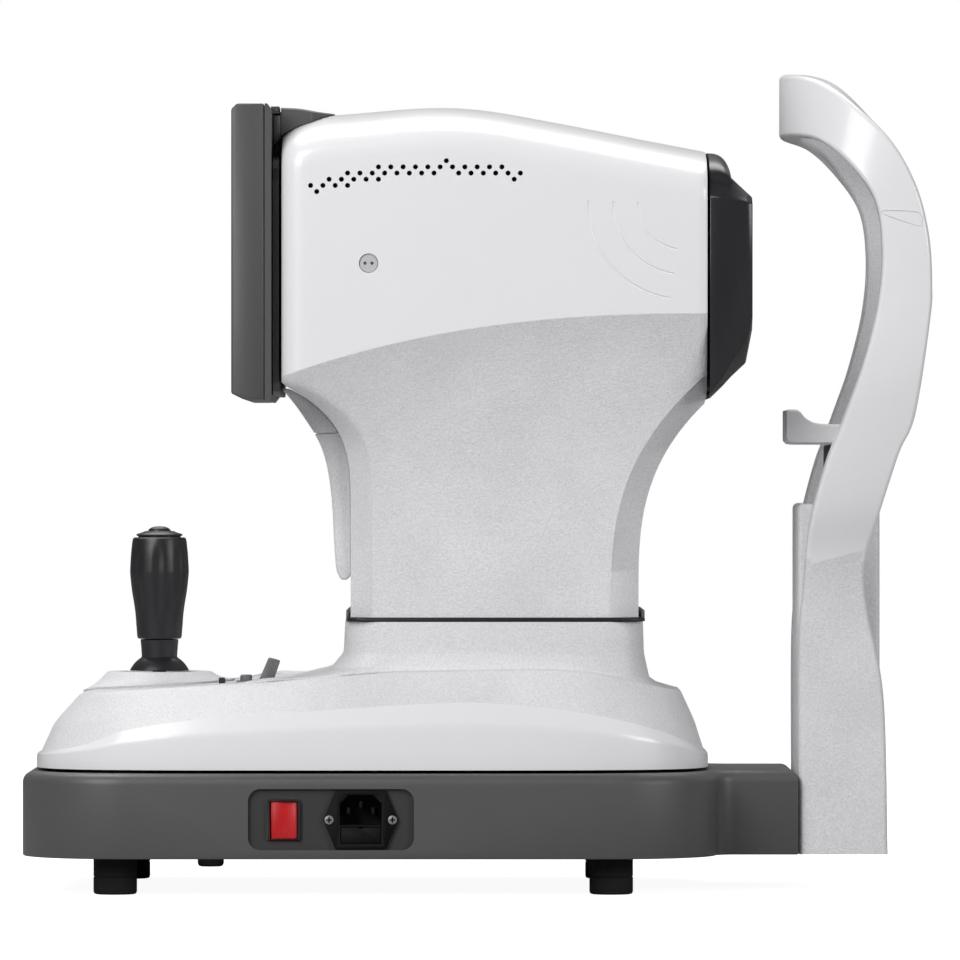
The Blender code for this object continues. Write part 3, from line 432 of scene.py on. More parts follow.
def combine(obj, operation, *shapes):
    helpers = [new_object("helper", shape) for shape in shapes]
    for helper in helpers:
        modifier = obj.modifiers.new("Boolean", "BOOLEAN")
        modifier.operation = operation
        modifier.object = helper
    settle(obj)
    for helper in helpers:
        bpy.data.objects.remove(helper)


def cut(obj, *shapes):
    combine(obj, "DIFFERENCE", *shapes)


def join(obj, *shapes):
    combine(obj, "UNION", *shapes)


def thicken(obj, wall, even=True):
    modifier = obj.modifiers.new("Wall", "SOLIDIFY")
    modifier.thickness = wall * MM
    modifier.offset = -1
    modifier.use_even_offset = even
    settle(obj)


def soften(obj, width, segments=3, angle=28):
    """Rounds the edges sharper than the angle."""
    modifier = obj.modifiers.new("Edges", "BEVEL")
    modifier.width = width * MM
    modifier.segments = segments
    modifier.limit_method = "ANGLE"
    modifier.angle_limit = math.radians(angle)
    modifier.harden_normals = True
    settle(obj)


def shade(obj, sharp=38):
    """Smooth shading, except over edges sharper than the angle."""
    work = bmesh.new()
    work.from_mesh(obj.data)
    for face in work.faces:
        face.smooth = True
    for edge in work.edges:
        edge.smooth = len(edge.link_faces) != 2 or edge.calc_face_angle(0) < math.radians(sharp)
    work.to_mesh(obj.data)
    work.free()


def finish_piece(obj, look, body, replaces=(), sharp=38):
    """Gives a shaped object its look, its shading and its place among the moving bodies."""
    material, slot = LOOKS[look]
    obj.data.materials.clear()
    obj.data.materials.append(material)
    shade(obj, sharp)
    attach(obj, body)
    if replaces:
        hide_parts(*replaces)
    return obj


def piece(name, shape, look, body, replaces=(), edges=0.0, sharp=38):
    """A closed piece, with its edges rounded if a width is given."""
    obj = new_object(name, shape)
    if edges:
        soften(obj, edges)
    return finish_piece(obj, look, body, replaces, sharp)


def second_look(obj, look, wanted):
    """Gives a second material to the faces whose centre and normal satisfy wanted."""
    obj.data.materials.append(LOOKS[look][0])
    for face in obj.data.polygons:
        if wanted(face.center / MM, face.normal):
            face.material_index = len(obj.data.materials) - 1


def screw_head(name, centre, axis, outward, radius, look, body):
    """A domed cross-head screw."""
    profile = [(0, -0.8), (1, -0.8), (1, 0.35), (0.9, 0.62), (0.55, 0.85), (0, 0.95)]
    u, v, base = centre
    dome = [(radius * share, base + outward * depth) for share, depth in profile]
    obj = new_object(name, lathe(dome, (u, v), axis, 32))
    arm, thin = radius * 0.6, radius * 0.17
    depths = sorted((base - outward * 0.3, base + outward * 3))
    for half_u, half_v in ((arm, thin), (thin, arm)):
        corners = ((-1, -1), (1, -1), (1, 1), (-1, 1))
        outline = [(u + half_u * across, v + half_v * up) for across, up in corners]
        cut(obj, prism(outline, *depths, axis))
    return finish_piece(obj, look, body, sharp=30)


# ---------------------------------------------------------------- base


def base_outline(inset=0.0, steps=20):
    """The base in plan with the arm that carries the headrest, drawn in by the inset."""
    corner_x, corner_y = BASE_FRONT - BASE_CORNER, BASE_HALF - BASE_CORNER
    blend_y = ARM_HALF + ARM_BLEND
    reach = math.sqrt((BASE_CORNER + ARM_BLEND) ** 2 - (blend_y - corner_y) ** 2)
    meet = math.degrees(math.asin((blend_y - corner_y) / (BASE_CORNER + ARM_BLEND)))
    radius = BASE_CORNER - inset
    side = [(ARM_FRONT - inset, ARM_HALF - inset)]
    side += arc(corner_x + reach, blend_y, ARM_BLEND + inset, 270, 180 + meet, 8)
    side += arc(corner_x, corner_y, radius, meet, 90, steps)
    side += arc(BASE_REAR + BASE_CORNER, corner_y, radius, 90, 180, steps)
    return side + [(x, -y) for x, y in reversed(side)]


def make_base():
    levels = [(BASE_LOW, 0.8), (BASE_LOW + 0.25, 0.25), (BASE_LOW + 0.8, 0.0)]
    for step in range(9):
        a = math.pi / 2 * step / 8
        levels.append((BASE_TOP - BASE_EDGE * (1 - math.sin(a)), BASE_EDGE * (1 - math.cos(a))))
    rings = [[(x, y, z) for x, y in base_outline(inset)] for z, inset in levels]
    base = new_object("base_cover", loft(rings))
    back = -BASE_HALF + 7.5
    cut(base, prism(base_outline(BASE_WALL), BASE_LOW - 1, BASE_TOP - BASE_WALL))
    join(base, box((PANEL_X[0] - 7, PANEL_X[1] + 7), (-BASE_HALF + 1, back), (23.8, BASE_TOP - 2)))
    panel = [
        [(x, y, z) for x, z in rounded(PANEL_X, PANEL_Z, 7, 10)]
        for y in (-BASE_HALF - 1, PANEL_FLOOR)
    ]
    openings = []
    for x, z, half_wide, half_high in ((SWITCH_X, SWITCH_Z, 8.9, 11.7), (INLET_X, INLET_Z, 13.9, 15.4)):
        height = (z - half_high, z + half_high)
        openings.append(box((x - half_wide, x + half_wide), (-BASE_HALF, back + 1), height))
    bracket_slot = box((ARM_FRONT - 6, ARM_FRONT + 1), (-41, 41), (24, 29))
    cut(base, loft(panel), *openings, bracket_slot)
    finish_piece(base, "base grey", "base", ["base_housing"], sharp=30)
    second_look(base, "panel grey", on_panel_floor)
    # Painted shade: the arm's sides and front, below its top edge, get the darker copy of the base's paint.
    second_look(base, "arm grey", lambda c, n: c.x > BASE_FRONT + 4 and c.z < BASE_TOP - 7)
    make_feet()


def on_panel_floor(centre, normal):
    """The floor of the power panel's recess is darker than the base."""
    at_floor = abs(centre.y - PANEL_FLOOR) < 0.2 and normal.y < -0.9
    return at_floor and PANEL_X[0] < centre.x < PANEL_X[1]


def make_feet():
    """Four rubber feet, each hollow underneath and with a groove round its middle, and the
    transport lock's knob."""
    feet = [(x, y) for x in (FOOT_REAR_X, FOOT_FRONT_X) for y in (-FOOT_Y, FOOT_Y)]
    radius, groove, top = FOOT_RADIUS, FOOT_RADIUS - 0.5, 21.1
    profile = [(0, 0.8), (6, 0.8), (7.4, 0), (radius - 1.6, 0), (groove, 0.4), (radius, 1.6)]
    profile += [(radius, 9.6), (groove, 10), (radius, 10.4), (radius, top), (0, top)]
    for number, centre in enumerate(feet, 1):
        name = f"rubber_foot_{number}"
        piece(name, lathe(profile, centre), "rubber", "base", [f"foot_{number}"], sharp=30)
    knob = [(0, 16), (5.6, 16), (6.9, 16.5), (7.5, 17.8), (7.5, 21.1), (0, 21.1)]
    flutes = lambda a, along: 1 - 0.035 * max(0.0, math.cos(12 * a)) ** 3 if along < 20.9 else 1
    shape = lathe(knob, (-150.5, -108.0), segments=96, ripple=flutes)
    piece("transport_knob", shape, "black", "base", ["transport_lock_knob"], sharp=45)


def make_power_panel():
    """The rocker switch in its frame, and the mains inlet beside it."""
    x, z, face = SWITCH_X, SWITCH_Z, PANEL_FLOOR - GAP
    frame_box = box((x - 8.6, x + 8.6), (face, -117), (z - 11.4, z + 11.4))
    switch = new_object("rocker_frame", frame_box)
    lip = rounded((x - 9.6, x + 9.6), (z - 11.2, z + 11.2), 0.7, 4)
    join(switch, prism(lip, face - 1.3, face + 0.1, "Y"))
    cut(switch, box((x - 7.9, x + 7.9), (-140, -119), (z - 10.7, z + 10.7)))
    soften(switch, 0.3, 2)
    finish_piece(switch, "black", "base", ["switch_frame"])
    front = [(-7.3 + 14.6 * i / 14, 1.5 + 1.1 * (-1 + 2 * i / 14) ** 2) for i in range(15)]
    rocker = front + [(7.5, -1.5), (3, -8), (-3, -8), (-7.5, -1.5)]
    turned = []
    for across, out in rocker:
        dx = across * math.cos(SWITCH_TILT) + out * math.sin(SWITCH_TILT)
        dy = across * math.sin(SWITCH_TILT) - out * math.cos(SWITCH_TILT)
        turned.append((x + dx, SWITCH_PIVOT_Y + dy))
    shape = prism(turned, z - 10.4, z + 10.4)
    piece("switch_rocker", shape, "red", "rocker", ["power_rocker"], edges=0.35)
    make_inlet()


def make_inlet():
    """A flanged appliance inlet with three pins, over a fuse drawer."""
    x, z, face = INLET_X, INLET_Z, PANEL_FLOOR - GAP
    inlet = new_object("mains_inlet", box((x - 13.5, x + 13.5), (face, -106), (z - 15, z + 15)))
    flange = [(-21.3, 0), (-14.4, -16.3), (14.4, -16.3), (21.3, 0), (14.4, 16.3), (-14.4, 16.3)]
    join(inlet, prism([(x + dx, z + dz) for dx, dz in flange], face - 1.8, face + 0.1, "Y"))
    low, high, half = z - 3, z + 14.2, 11.8
    socket = [(x - half, low), (x + half, low), (x + half, high - 5), (x + half - 5, high)]
    socket += [(x - half + 5, high), (x - half, high - 5)]
    drawer_hole = box((x - 11.5, x + 11.5), (-140, -112), (z - 13.5, z - 3.9))
    cut(inlet, prism(socket, -140, -118, "Y"), drawer_hole)
    soften(inlet, 0.45, 2)
    finish_piece(inlet, "socket", "base", ["inlet_socket"])
    for number, (dx, dz) in enumerate(((-7, 5), (0, 8.5), (7, 5)), 1):
        blade = box((x + dx - 1, x + dx + 1), (-131, -117.6), (z + dz - 2, z + dz + 2))
        piece(f"inlet_pin_{number}", blade, "socket", "base", edges=0.5)
    drawer_box = box((x - 11.2, x + 11.2), (face - 1.6, -112.3), (z - 13.2, z - 4.2))
    drawer = new_object("fuse_drawer_front", drawer_box)
    cut(drawer, box((x - 1.2, x + 1.2), (face - 3, face + 1.5), (z - 4.9, z)))
    soften(drawer, 0.4, 2)
    finish_piece(drawer, "socket", "fuse_tray", ["fuse_drawer"])
    for side, name in ((-1, "inlet_screw_left"), (1, "inlet_screw_right")):
        screw_head(name, (x + side * 17.9, z, face - 1.9), "Y", -1, 2.6, "screw", "base")


# ---------------------------------------------------------------- carriage


def plan_ring(rear, front, half, squareness, height, count=180):
    """A closed ring around the carriage. half and height are numbers or functions of x."""
    middle, reach = (rear + front) / 2, (front - rear) / 2
    ring = []
    for i in range(count):
        a = 2 * math.pi * i / count
        c, s = math.cos(a), math.sin(a)
        x = middle + reach * math.copysign(abs(c) ** (2 / squareness), c)
        width = half(x) if callable(half) else half
        y = width * math.copysign(abs(s) ** (2 / squareness), s)
        ring.append((x, y, height(x) if callable(height) else height))
    return ring


RIDGE_LINE = [(-253, 79), (-222, 85), (-200, 93), (-157, 99.5), (-43, 107.5), (-6, 109)]
RIDGE_LINE += [(31, 107), (70, 101.5), (107, 92), (134, 79)]
DECK_LINE = [(-228, 114), (-163, 117.5), (-107, 121), (-70, 125), (-20, 126.5), (60, 126), (116, 114.5)]
DECK_HALF_LINE = [(-120, 88), (-60, 100), (60, 100), (120, 90)]


def ridge_height(x):
    """Where the skirt's upright side turns into its slope."""
    return smooth(RIDGE_LINE, x)


def deck_height(x):
    return smooth(DECK_LINE, x)


def deck_half(x):
    return smooth(DECK_HALF_LINE, x)


def raised_deck(rise):
    """The deck's height with a constant rise, as a function of x."""
    return lambda x: deck_height(x) + rise


def shoulder_height(x):
    """Just under the ridge, where the upright side starts to lean in."""
    return 0.6 * ridge_height(x) + 31


def slope_half(x):
    """The skirt's half width on its slope, between the ridge's and the deck's."""
    return 0.45 * deck_half(x) + 0.55 * (SKIRT_HALF - 2)


def slope_height(x):
    return 0.45 * deck_height(x) + 0.55 * ridge_height(x)


def blended(one, two, share):
    """The ring at a share of the way between two rings."""
    return [tuple(a + (b - a) * share for a, b in zip(p, q)) for p, q in zip(one, two)]


def eased(rings, times=3):
    """The same surface with each ring's fold eased into a curve by cutting its corner."""
    dense = [rings[0]]
    for one, two in zip(rings, rings[1:]):
        dense += [blended(one, two, share / 3) for share in (1, 2, 3)]
    for _ in range(times):
        cut_rings = [dense[0]]
        for one, two in zip(dense, dense[1:]):
            cut_rings += [blended(one, two, 0.25), blended(one, two, 0.75)]
        dense = cut_rings + [dense[-1]]
    return dense


def skirt_ring(inset, side_inset, height):
    """A ring round the skirt, drawn in at its ends and at its sides."""
    ends = (SKIRT_REAR + inset, SKIRT_FRONT - inset)
    return plan_ring(*ends, SKIRT_HALF - side_inset, SKIRT_SQUARENESS, height)


def make_skirt():
    """The carriage's cover: an upright side, a slope up to the deck, and the column's waist."""
    ridge = skirt_ring(2.5, 3.2, ridge_height)
    shoulder = skirt_ring(0.3, 0.4, shoulder_height)
    sides = [skirt_ring(0, 0, SKIRT_LOW), skirt_ring(0, 0, SKIRT_LOW + 4), shoulder, ridge]
    slopes = [
        ridge,
        plan_ring(-243, 126, slope_half, 4.6, slope_height),
        plan_ring(-226.5, 118, lambda x: deck_half(x) + 2, 5.5, deck_height),
        plan_ring(-160, 115, lambda x: deck_half(x) - 0.5, 5.5, raised_deck(0.2)),
        plan_ring(-108, 106, lambda x: min(95, deck_half(x) - 1), 6, raised_deck(0.6)),
        plan_ring(-84, 100, 94, 7, raised_deck(3.2)),
        plan_ring(WAIST_REAR - 1, WAIST_FRONT + 0.6, WAIST_HALF + 0.6, 8, 136.5),
        plan_ring(WAIST_REAR, WAIST_FRONT, WAIST_HALF, 9, WAIST_TOP),
    ]
    rings = eased(sides, 2)[:-1] + eased(slopes, 2)
    surface = loft(rings, capped=False)
    skirt = new_object("carriage_cover", surface, closed=False)
    deck = BVHTree.FromPolygons([Vector(point) for point in surface[0]], surface[1])
    thicken(skirt, 2.2, even=False)
    cut(skirt, rod(34, (STICK_X, 0), 100, 135, segments=96))
    plate_sides = (CONTROLS_Y - PLATE_HALF - GAP, CONTROLS_Y + PLATE_HALF + GAP)
    cut(skirt, box((PLATE_X[0] - GAP, PLATE_X[1] + GAP), plate_sides, (105, 135)))
    cut(skirt, rod(PRINT_BUTTON_RADIUS + GAP, (PRINT_BUTTON_X, CONTROLS_Y), 105, 135))
    finish_piece(skirt, "smooth white", "carriage", ["carriage_skirt"], sharp=50)
    second_look(skirt, "grained white", lambda c, n: c.z > ridge_height(c.x) + 0.05)
    make_boss(deck)


def make_boss(deck):
    """The joystick's raised ring, flaring into the deck around it."""
    rings = []
    for radius, rise in ((22.6, -9), (22.6, -0.8), (22.9, -0.2), (23.6, 0), (29.6, 0)):
        rings.append([ring_point(radius, turn, BOSS_TOP + rise) for turn in range(120)])
    for step in range(15):
        share = step / 14
        radius = 30.4 + 14 * share
        ring = []
        for turn in range(120):
            x, y, _ = ring_point(radius, turn, 0)
            ground = deck.ray_cast(Vector((x, y, 140)), Vector((0, 0, -1)))[0].z
            ring.append((x, y, ground + 1.3 + (BOSS_TOP - 1.6 - ground) * (1 - share) ** 2.2))
        rings.append(ring)
    rings.append([(STICK_X + (x - STICK_X) * 0.95, y * 0.95, z - 2.6) for x, y, z in rings[-1]])
    boss = new_object("joystick_boss", loft(rings[::-1], capped=False), closed=False)
    thicken(boss, 1.2)
    finish_piece(boss, "grained white", "carriage", sharp=50)


def ring_point(radius, turn, z):
    """A point of a ring of 120 round the joystick."""
    a = 2 * math.pi * turn / 120
    return (STICK_X + radius * math.cos(a), radius * math.sin(a), z)


def make_joystick():
    """A shaft with a ball at its lower end and a bell that covers the ring, then the grip."""
    centre = (STICK_X, 0)
    turns = [math.radians(a) for a in range(10, 151, 10)]
    ball = [(BALL_RADIUS * math.sin(a), BALL_Z - BALL_RADIUS * math.cos(a)) for a in turns]
    stem = [(4, 90), (4, 99), (6.5, 101), (6.5, 108.5), (4, 110), (4, 127), (15.2, 125.2)]
    bell = [(16.9, 125), (17.1, 125.3), (16.4, 126.6), (15.2, 128.4), (13.6, 130.2), (11.9, 131.6)]
    neck = [(10.8, 132.3), (10.3, 133), (10.5, 137), (11, 142.8), (10.7, 143.1), (5, 143.1), (5, 198.4)]
    shape = lathe([(0, BALL_Z - BALL_RADIUS), *ball, *stem, *bell, *neck, (0, 198.4)], centre)
    piece("joystick_stem", shape, "stick", "joystick", ["joystick_shaft"], sharp=32)
    make_grip(centre)
    button = [(0, 201.3), (6.3, 201.3), (6.6, 201.6), (6.6, 206)]
    button += [(6.2, 206.8), (5, 207.7), (3, 208.4), (0, 208.6)]
    piece("grip_button", lathe(button, centre), "stick", "stick_button", ["joystick_button"], sharp=32)


def make_grip(centre):
    """The grip, with shallow upright flutes that fade out at both ends."""
    side = [(12.9, 144.6), (13.5, 152), (14.6, 161), (16.3, 171)]
    side += [(17.3, 180), (17.4, 184), (16.8, 193), (15.6, 200.6)]
    rim = [(15.3, 201.6), (14.6, 202.1), (12.3, 202.2)]
    body = [(11.9, 143.4), (12.5, 143.6)] + curve_through(side, 6) + rim
    cap = [(12.3, 202.9), (13.3, 203.1), (13.4, 203.8), (12.9, 204.2)]
    cap += [(10.5, 204.9), (8.2, 205.8), (7.2, 205.9)]
    bore = [(7, 205.6), (7, 198.8), (5.5, 198.8), (5.5, 143.4)]

    def flutes(angle, along):
        fade = max(0.0, min(1.0, (along - 152) / 14, (199 - along) / 10))
        return 1 - 0.06 * fade * (0.5 + 0.5 * math.cos(8 * angle)) ** 2.5

    shape = lathe(body + cap + bore, centre, segments=192, ripple=flutes)
    piece("fluted_grip", shape, "stick", "grip", ["joystick_grip"], sharp=32)


def make_key(name, node, body, place, radius, top, look):
    """A round key with a rounded upper edge."""
    round_edge = [math.radians(a) for a in range(0, 90, 15)]
    dome = [(radius - 1 + math.cos(a), top - 1 + math.sin(a)) for a in round_edge]
    shape = lathe([(0, KEYS_LOW), (radius, KEYS_LOW), *dome, (0, top)], place)
    piece(name, shape, look, body, [node])


def make_deck_controls():
    """A plate in the deck with the chinrest's keys and the stage lock, and a print key."""
    y = CONTROLS_Y
    plate = new_object("deck_plate", box(PLATE_X, (y - PLATE_HALF, y + PLATE_HALF), (116, 120.4)))
    cut(plate, box((LEVER_X - 3.8, LEVER_X + 10.8), (y - 4.6, y + 4.6), (110, 125)))
    for word, key_y in (("up", y - 5), ("down", y + 5)):
        place = (KEY_X, key_y)
        cut(plate, rod(KEY_RADIUS + GAP, place, 110, 125))
        names = (f"{word}_key", f"chinrest_{word}_button", f"{word}_button")
        make_key(*names, place, KEY_RADIUS, KEY_TOP, "grey")
    names = ("print_key", "print_button", "printing_button")
    make_key(*names, (PRINT_BUTTON_X, y), PRINT_BUTTON_RADIUS, PRINT_BUTTON_TOP, "black")
    soften(plate, 0.35, 2)
    finish_piece(plate, "grey", "carriage", ["control_plate"])
    shape = prism(LEVER_OUTLINE, y - 4, y + 4, "Y")
    piece("lock_lever", shape, "grey", "lock_lever", ["stage_lock_lever"], edges=0.9)


def make_waist_collar():
    """The dark collar in the gap between the waist and the column, with a lip at each end."""
    low, top = WAIST_TOP + GAP, 156.6
    rear, front = WAIST_REAR + 0.8, WAIST_FRONT + 0.6
    outline = rounded((rear, front), (-WAIST_HALF + 0.5, WAIST_HALF - 0.5), 12)
    collar = new_object("column_collar", prism(outline, low, top))
    for x0, x1 in ((rear, rear + 1.7), (front - 2, front)):
        join(collar, box((x0, x1), (-72, 72), (low + 0.5, 161)))
    cut(collar, prism(rounded((-70, 90), (-86, 86), 10), low - 5, 165))
    soften(collar, 0.3, 2)
    finish_piece(collar, "black", "carriage", ["waist_collar"])
    # Painted reflection: the lips above the black band, and the collar's rear end, are grey, standing in for
    # light reflected off the black collar's glossy corners.
    second_look(collar, "grey", lambda c, n: c.z > top + 0.1 or c.x < rear + 1)


# ---------------------------------------------------------------- column and head


def crease_height(x):
    """The curve across each side where the upright head turns into the flare below it."""
    return 330 - 36 * max(0.0, (HEAD_FRONT - x) / 242) ** 2.4


def rear_edge(z):
    """The column's rear edge, which flares out to the head's."""
    flare = min(1.0, max(0.0, (z - 215) / 75))
    return COLUMN_REAR + (HEAD_REAR - COLUMN_REAR) * flare**3.8


def front_edge(z):
    """The column's front edge, which flares out to the head's."""
    flare = min(1.0, max(0.0, (z - 170) / 110))
    return COLUMN_FRONT + (HEAD_FRONT - COLUMN_FRONT) * flare**3


def front_bevel(z):
    """How far the front corner's bevel reaches back along the side."""
    inner = 77 + 45 * min(1.0, max(0.0, (z - 165) / 122)) ** 2.8
    return max(1.6, front_edge(z) - inner - max(0.0, z - 287))


def side_half(x, z):
    """Half the width: the head's above the crease, and less towards the column below it."""
    crease = crease_height(x)
    if z >= crease:
        return HEAD_HALF
    return COLUMN_HALF + (HEAD_HALF - COLUMN_HALF) * max(0.0, (z - 200) / (crease - 200)) ** 2.2


CROWN_LINE = [(-111, 446), (-82, 446), (-30, 450), (2, 449), (49, 441), (95, 432), (134, 424.5)]


def crown_height(x):
    """The head's top on its middle line. It drops towards the display."""
    drop = 9.5 * max(0.0, (-82 - x) / 28.5) ** 2
    return smooth(CROWN_LINE, x) - drop


def crown_surface(x, y):
    """The head's top at any place, for what sits on it."""
    across = min(1.0, abs(y) / HEAD_HALF)
    return crown_height(x) - CROWN * (1 - (1 - across**CROWN_POWER) ** (1 / CROWN_POWER))


def rear_corner(z, share):
    """A place on the rear corner, as shares of its size forwards and inwards. The corner is
    a flat bevel on the column and turns round on the head."""
    rounding = max(0.0, min(1.0, (z - 258) / 30))
    turn = math.pi / 2 * share
    along = (1 - rounding) * share + rounding * (1 - math.cos(turn))
    across = (1 - rounding) * (1 - share) + rounding * (1 - math.sin(turn))
    return along, across


def head_row(height, side, narrow=1.0, seam=0.2, side_points=60, corner_points=7):
    """Half a ring round the column and head, from the rear middle to the front middle."""

    def settled(place):
        x = 0.0
        for _ in range(25):
            x = place(height(x))
        return x, height(x)

    x, z = settled(rear_edge)
    row = [(x, 0.0, z)]
    for i in range(corner_points + 1):
        share = i / corner_points
        x, z = settled(lambda z: rear_edge(z) + REAR_BEVEL * rear_corner(z, share)[0])
        row.append((x, side_half(x, z) - REAR_BEVEL * rear_corner(z, share)[1], z))
    start = row[-1][0]
    end, _ = settled(lambda z: front_edge(z) - front_bevel(z))
    for i in range(1, side_points + 1):
        x = start + (end - start) * i / side_points
        row.append((x, side_half(x, height(x)), height(x)))
    x, z = settled(front_edge)
    row += [(x, side_half(x, z) - 0.9 * front_bevel(z), z), (x, 0.0, z)]
    return [(x, side * max(seam, y * narrow), z) for x, y, z in row]


def head_rows(side):
    """Half rings up the column to the crease, up the head's wall, and over its crown."""
    rows = []
    for share in [i / 44 for i in range(44)] + [0.9975, 1.0]:
        rows.append(head_row(lambda x: COLUMN_LOW + share * (crease_height(x) - COLUMN_LOW), side))
    wall = lambda x: crown_height(x) - CROWN
    for share in [0.006] + [i / 14 for i in range(1, 15)]:
        rows.append(head_row(lambda x: crease_height(x) + share * (wall(x) - crease_height(x)), side))
    for step in range(1, 19):
        a = math.pi / 2 * step / 18
        rise, narrow = math.sin(a) ** (2 / CROWN_POWER), max(0.0, math.cos(a)) ** (2 / CROWN_POWER)
        rows.append(head_row(lambda x: crown_height(x) - CROWN * (1 - rise), side, narrow))
    return rows


def vent_holes():
    """The pattern of round vents high on the near side."""
    holes = []
    for row, columns in enumerate(VENT_ROWS):
        for column in columns:
            centre = (VENT_START[0] + VENT_STEP * column, VENT_START[1] + VENT_STEP * row)
            holes.append(rod(VENT_RADIUS, centre, -HEAD_HALF - 2, -HEAD_HALF + 5, "Y", 16))
    return together(*holes)


def engraved_arcs():
    """Plain concentric arcs engraved in the near side, low and towards the patient."""
    grooves = []
    for radius in (26, 40, 54):
        line = [(x, -HEAD_HALF, z) for x, z in arc(118, 392, radius, 178, 262, 28)]
        grooves.append(tube_along(line, 0.7))
    return together(*grooves)


def make_head_covers():
    """The near and far halves of the shell round the column and head."""
    sides = (("head_shell_near", "head_cover_near", -1), ("head_shell_far", "head_cover_far", 1))
    for name, node, side in sides:
        points, faces = loft(head_rows(side), capped=False, closed=False)
        if side > 0:
            faces = [face[::-1] for face in faces]
        shell = new_object(name, (points, faces), closed=False)
        thicken(shell, 1.6)
        cut(shell, prism(rounded((-36, 36), (192, 256), 4), -95, -60, "X"))
        cut(shell, prism(rounded((-70, 70), (315, 405), 12), 120, 140, "X"))
        if side < 0:
            cut(shell, together(vent_holes(), rod(5.5, PLUG, -125, -105, "Y")), engraved_arcs())
        finish_piece(shell, "smooth white", "head", [node], sharp=42)
        second_look(shell, "grained white", lambda c, n: c.z < crease_height(c.x) - 0.1)
    make_side_plug()


def make_side_plug():
    u, v = PLUG
    profile = [(0, -110.5), (5.3, -110.5), (5.3, -113.9), (5.0, -114.2), (0, -114.2)]
    plug = new_object("round_plug", lathe(profile, (u, v), "Y"))
    for side in (-1, 1):
        cut(plug, rod(0.95, (u + side * 2, v), -116, -112, "Y", 24))
    finish_piece(plug, "light grey", "head", ["side_plug"], sharp=30)


def hood_half(x):
    """The hood narrows towards its front edge."""
    share = max(0.0, (x - HOOD_TAPER) / (HOOD_FRONT - HOOD_TAPER))
    return HOOD_HALF - (HOOD_HALF - HOOD_FRONT_HALF) * share**1.6


def hood_top(x, y):
    """The hood's upper surface: a low arch across, with its side edges rounded."""
    top_line = [(HOOD_REAR, 450.2), (-101, 449.6), (-90, 447.7), (HOOD_FRONT, 446.6)]
    into_edge = max(0.0, (abs(y) - hood_half(x) + 1.5) / 1.5)
    rounding = 0.6 * (1 - math.sqrt(max(0.0, 1 - into_edge**2)))
    arch = smooth(top_line, x) - 2.2 * (y / HOOD_HALF) ** 2 - rounding
    return max(crown_surface(x, y) + 0.7, arch)


def make_hood():
    """A dark cover over the head's rounded rear corner, with a cheek at each end of the gap
    between it and the display."""
    rings = []
    for step in range(31):
        x = HOOD_REAR + (HOOD_FRONT - HOOD_REAR) * step / 30
        places = [hood_half(x) * (i / 21 - 1) for i in range(43)]
        under = [(x, y, crown_surface(x, y) + 0.5) for y in places]
        over = [(x, y, hood_top(x, y)) for y in places]
        rings.append(under + over[::-1])
    piece("rear_hood", loft(rings), "dark grey", "head", ["head_hood"])
    outline = [(-115.6, 426), (-111.6, 430), (-111.6, 443.8), (-115.6, 443.8)]
    for name, low in (("hood_cheek_near", -HOOD_HALF), ("hood_cheek_far", HOOD_HALF - CHEEK_WIDTH)):
        cheek = prism(outline, low, low + CHEEK_WIDTH, "Y")
        piece(name, cheek, "dark grey", "head", edges=0.4)


def nose_ring(x, half, low, high, low_chamfer, high_chamfer, slant=10.0):
    """The nose's outline at one place: its upper and lower corners are cut off."""
    inner = half - slant
    side = [(inner, low), (half, low + low_chamfer), (half, high - high_chamfer), (inner, high)]
    outline = side + [(-y, z) for y, z in reversed(side)]
    return [(x, y, z) for y, z in outline]


def brow_shape():
    """The rounded hump across the nose's top, which carries the head's crown to its front."""
    rings = []
    for step in range(13):
        lean = math.pi / 2 * step / 12
        x = BROW_REAR + BROW_DEPTH * math.sin(lean) ** (2 / BROW_POWER)
        size = max(0.03, math.cos(lean)) ** (2 / BROW_POWER)
        ring = []
        for turn in range(41):
            a = math.pi * turn / 40
            y = BROW_HALF * math.copysign(abs(math.cos(a)) ** (2 / CROWN_POWER), math.cos(a))
            ring.append((x, y, BROW_LOW + BROW_RISE * size * math.sin(a) ** (2 / CROWN_POWER)))
        rings.append([(x, BROW_HALF, BROW_LOW - 4)] + ring + [(x, -BROW_HALF, BROW_LOW - 4)])
    return loft(rings)


def make_nose():
    """The faceted front cover of the head, with a round hole for the window."""
    rings = [
        nose_ring(132.8, 112.0, 281.5, 408.5, 3, 12.0),
        nose_ring(140.5, 111.5, 289.0, 408.2, 5, 12.6),
        nose_ring(145.0, 111.1, 294.0, 407.6, 8, 12.8),
        nose_ring(153.5, 110.8, 302.0, 399.6, 12, 6.2),
        nose_ring(157.2, 110.4, 321.0, 396.2, 8, 3.8),
    ]
    points, faces = loft(rings)
    nose = new_object("nose_shell", (points, faces[:-2] + faces[-1:]), closed=False)
    thicken(nose, 2.2)
    soften(nose, 0.7, 3, 20)
    join(nose, brow_shape())
    cut(nose, rod(24, (0, WINDOW_Z), 140, 165, "X", 96))
    cut(nose, box((120, 133), (-130, 130), (270, 440)))
    finish_piece(nose, "nose", "head", ["nose_cover"], sharp=30)
    make_window()


def make_window():
    rim = [(24.2, 156.4), (25.6, 157.1), (25.2, 157.7), (23.8, 157.5)]
    rim += [(22.6, 155.2), (22.6, 154.6), (23.8, 154.6)]
    piece("window_ring", lathe(rim, (0, WINDOW_Z), "X", 96), "dark steel", "head")
    pane = [(0, 152.2), (27.6, 152.2), (28, 152.6), (28, 153.9), (27.6, 154.3), (0, 154.3)]
    piece("window_pane", lathe(pane, (0, WINDOW_Z), "X", 96), "window", "head", ["window_glass"])


# ---------------------------------------------------------------- back of the head


BULGE_LINE = [(178, -77.5), (184, -80.3), (231, -83.6), (254.5, -89), (274.5, -101), (290, -113.2)]


def bulge(z):
    """The outline of the cover over the printer, behind the column."""
    return smooth(BULGE_LINE, z)


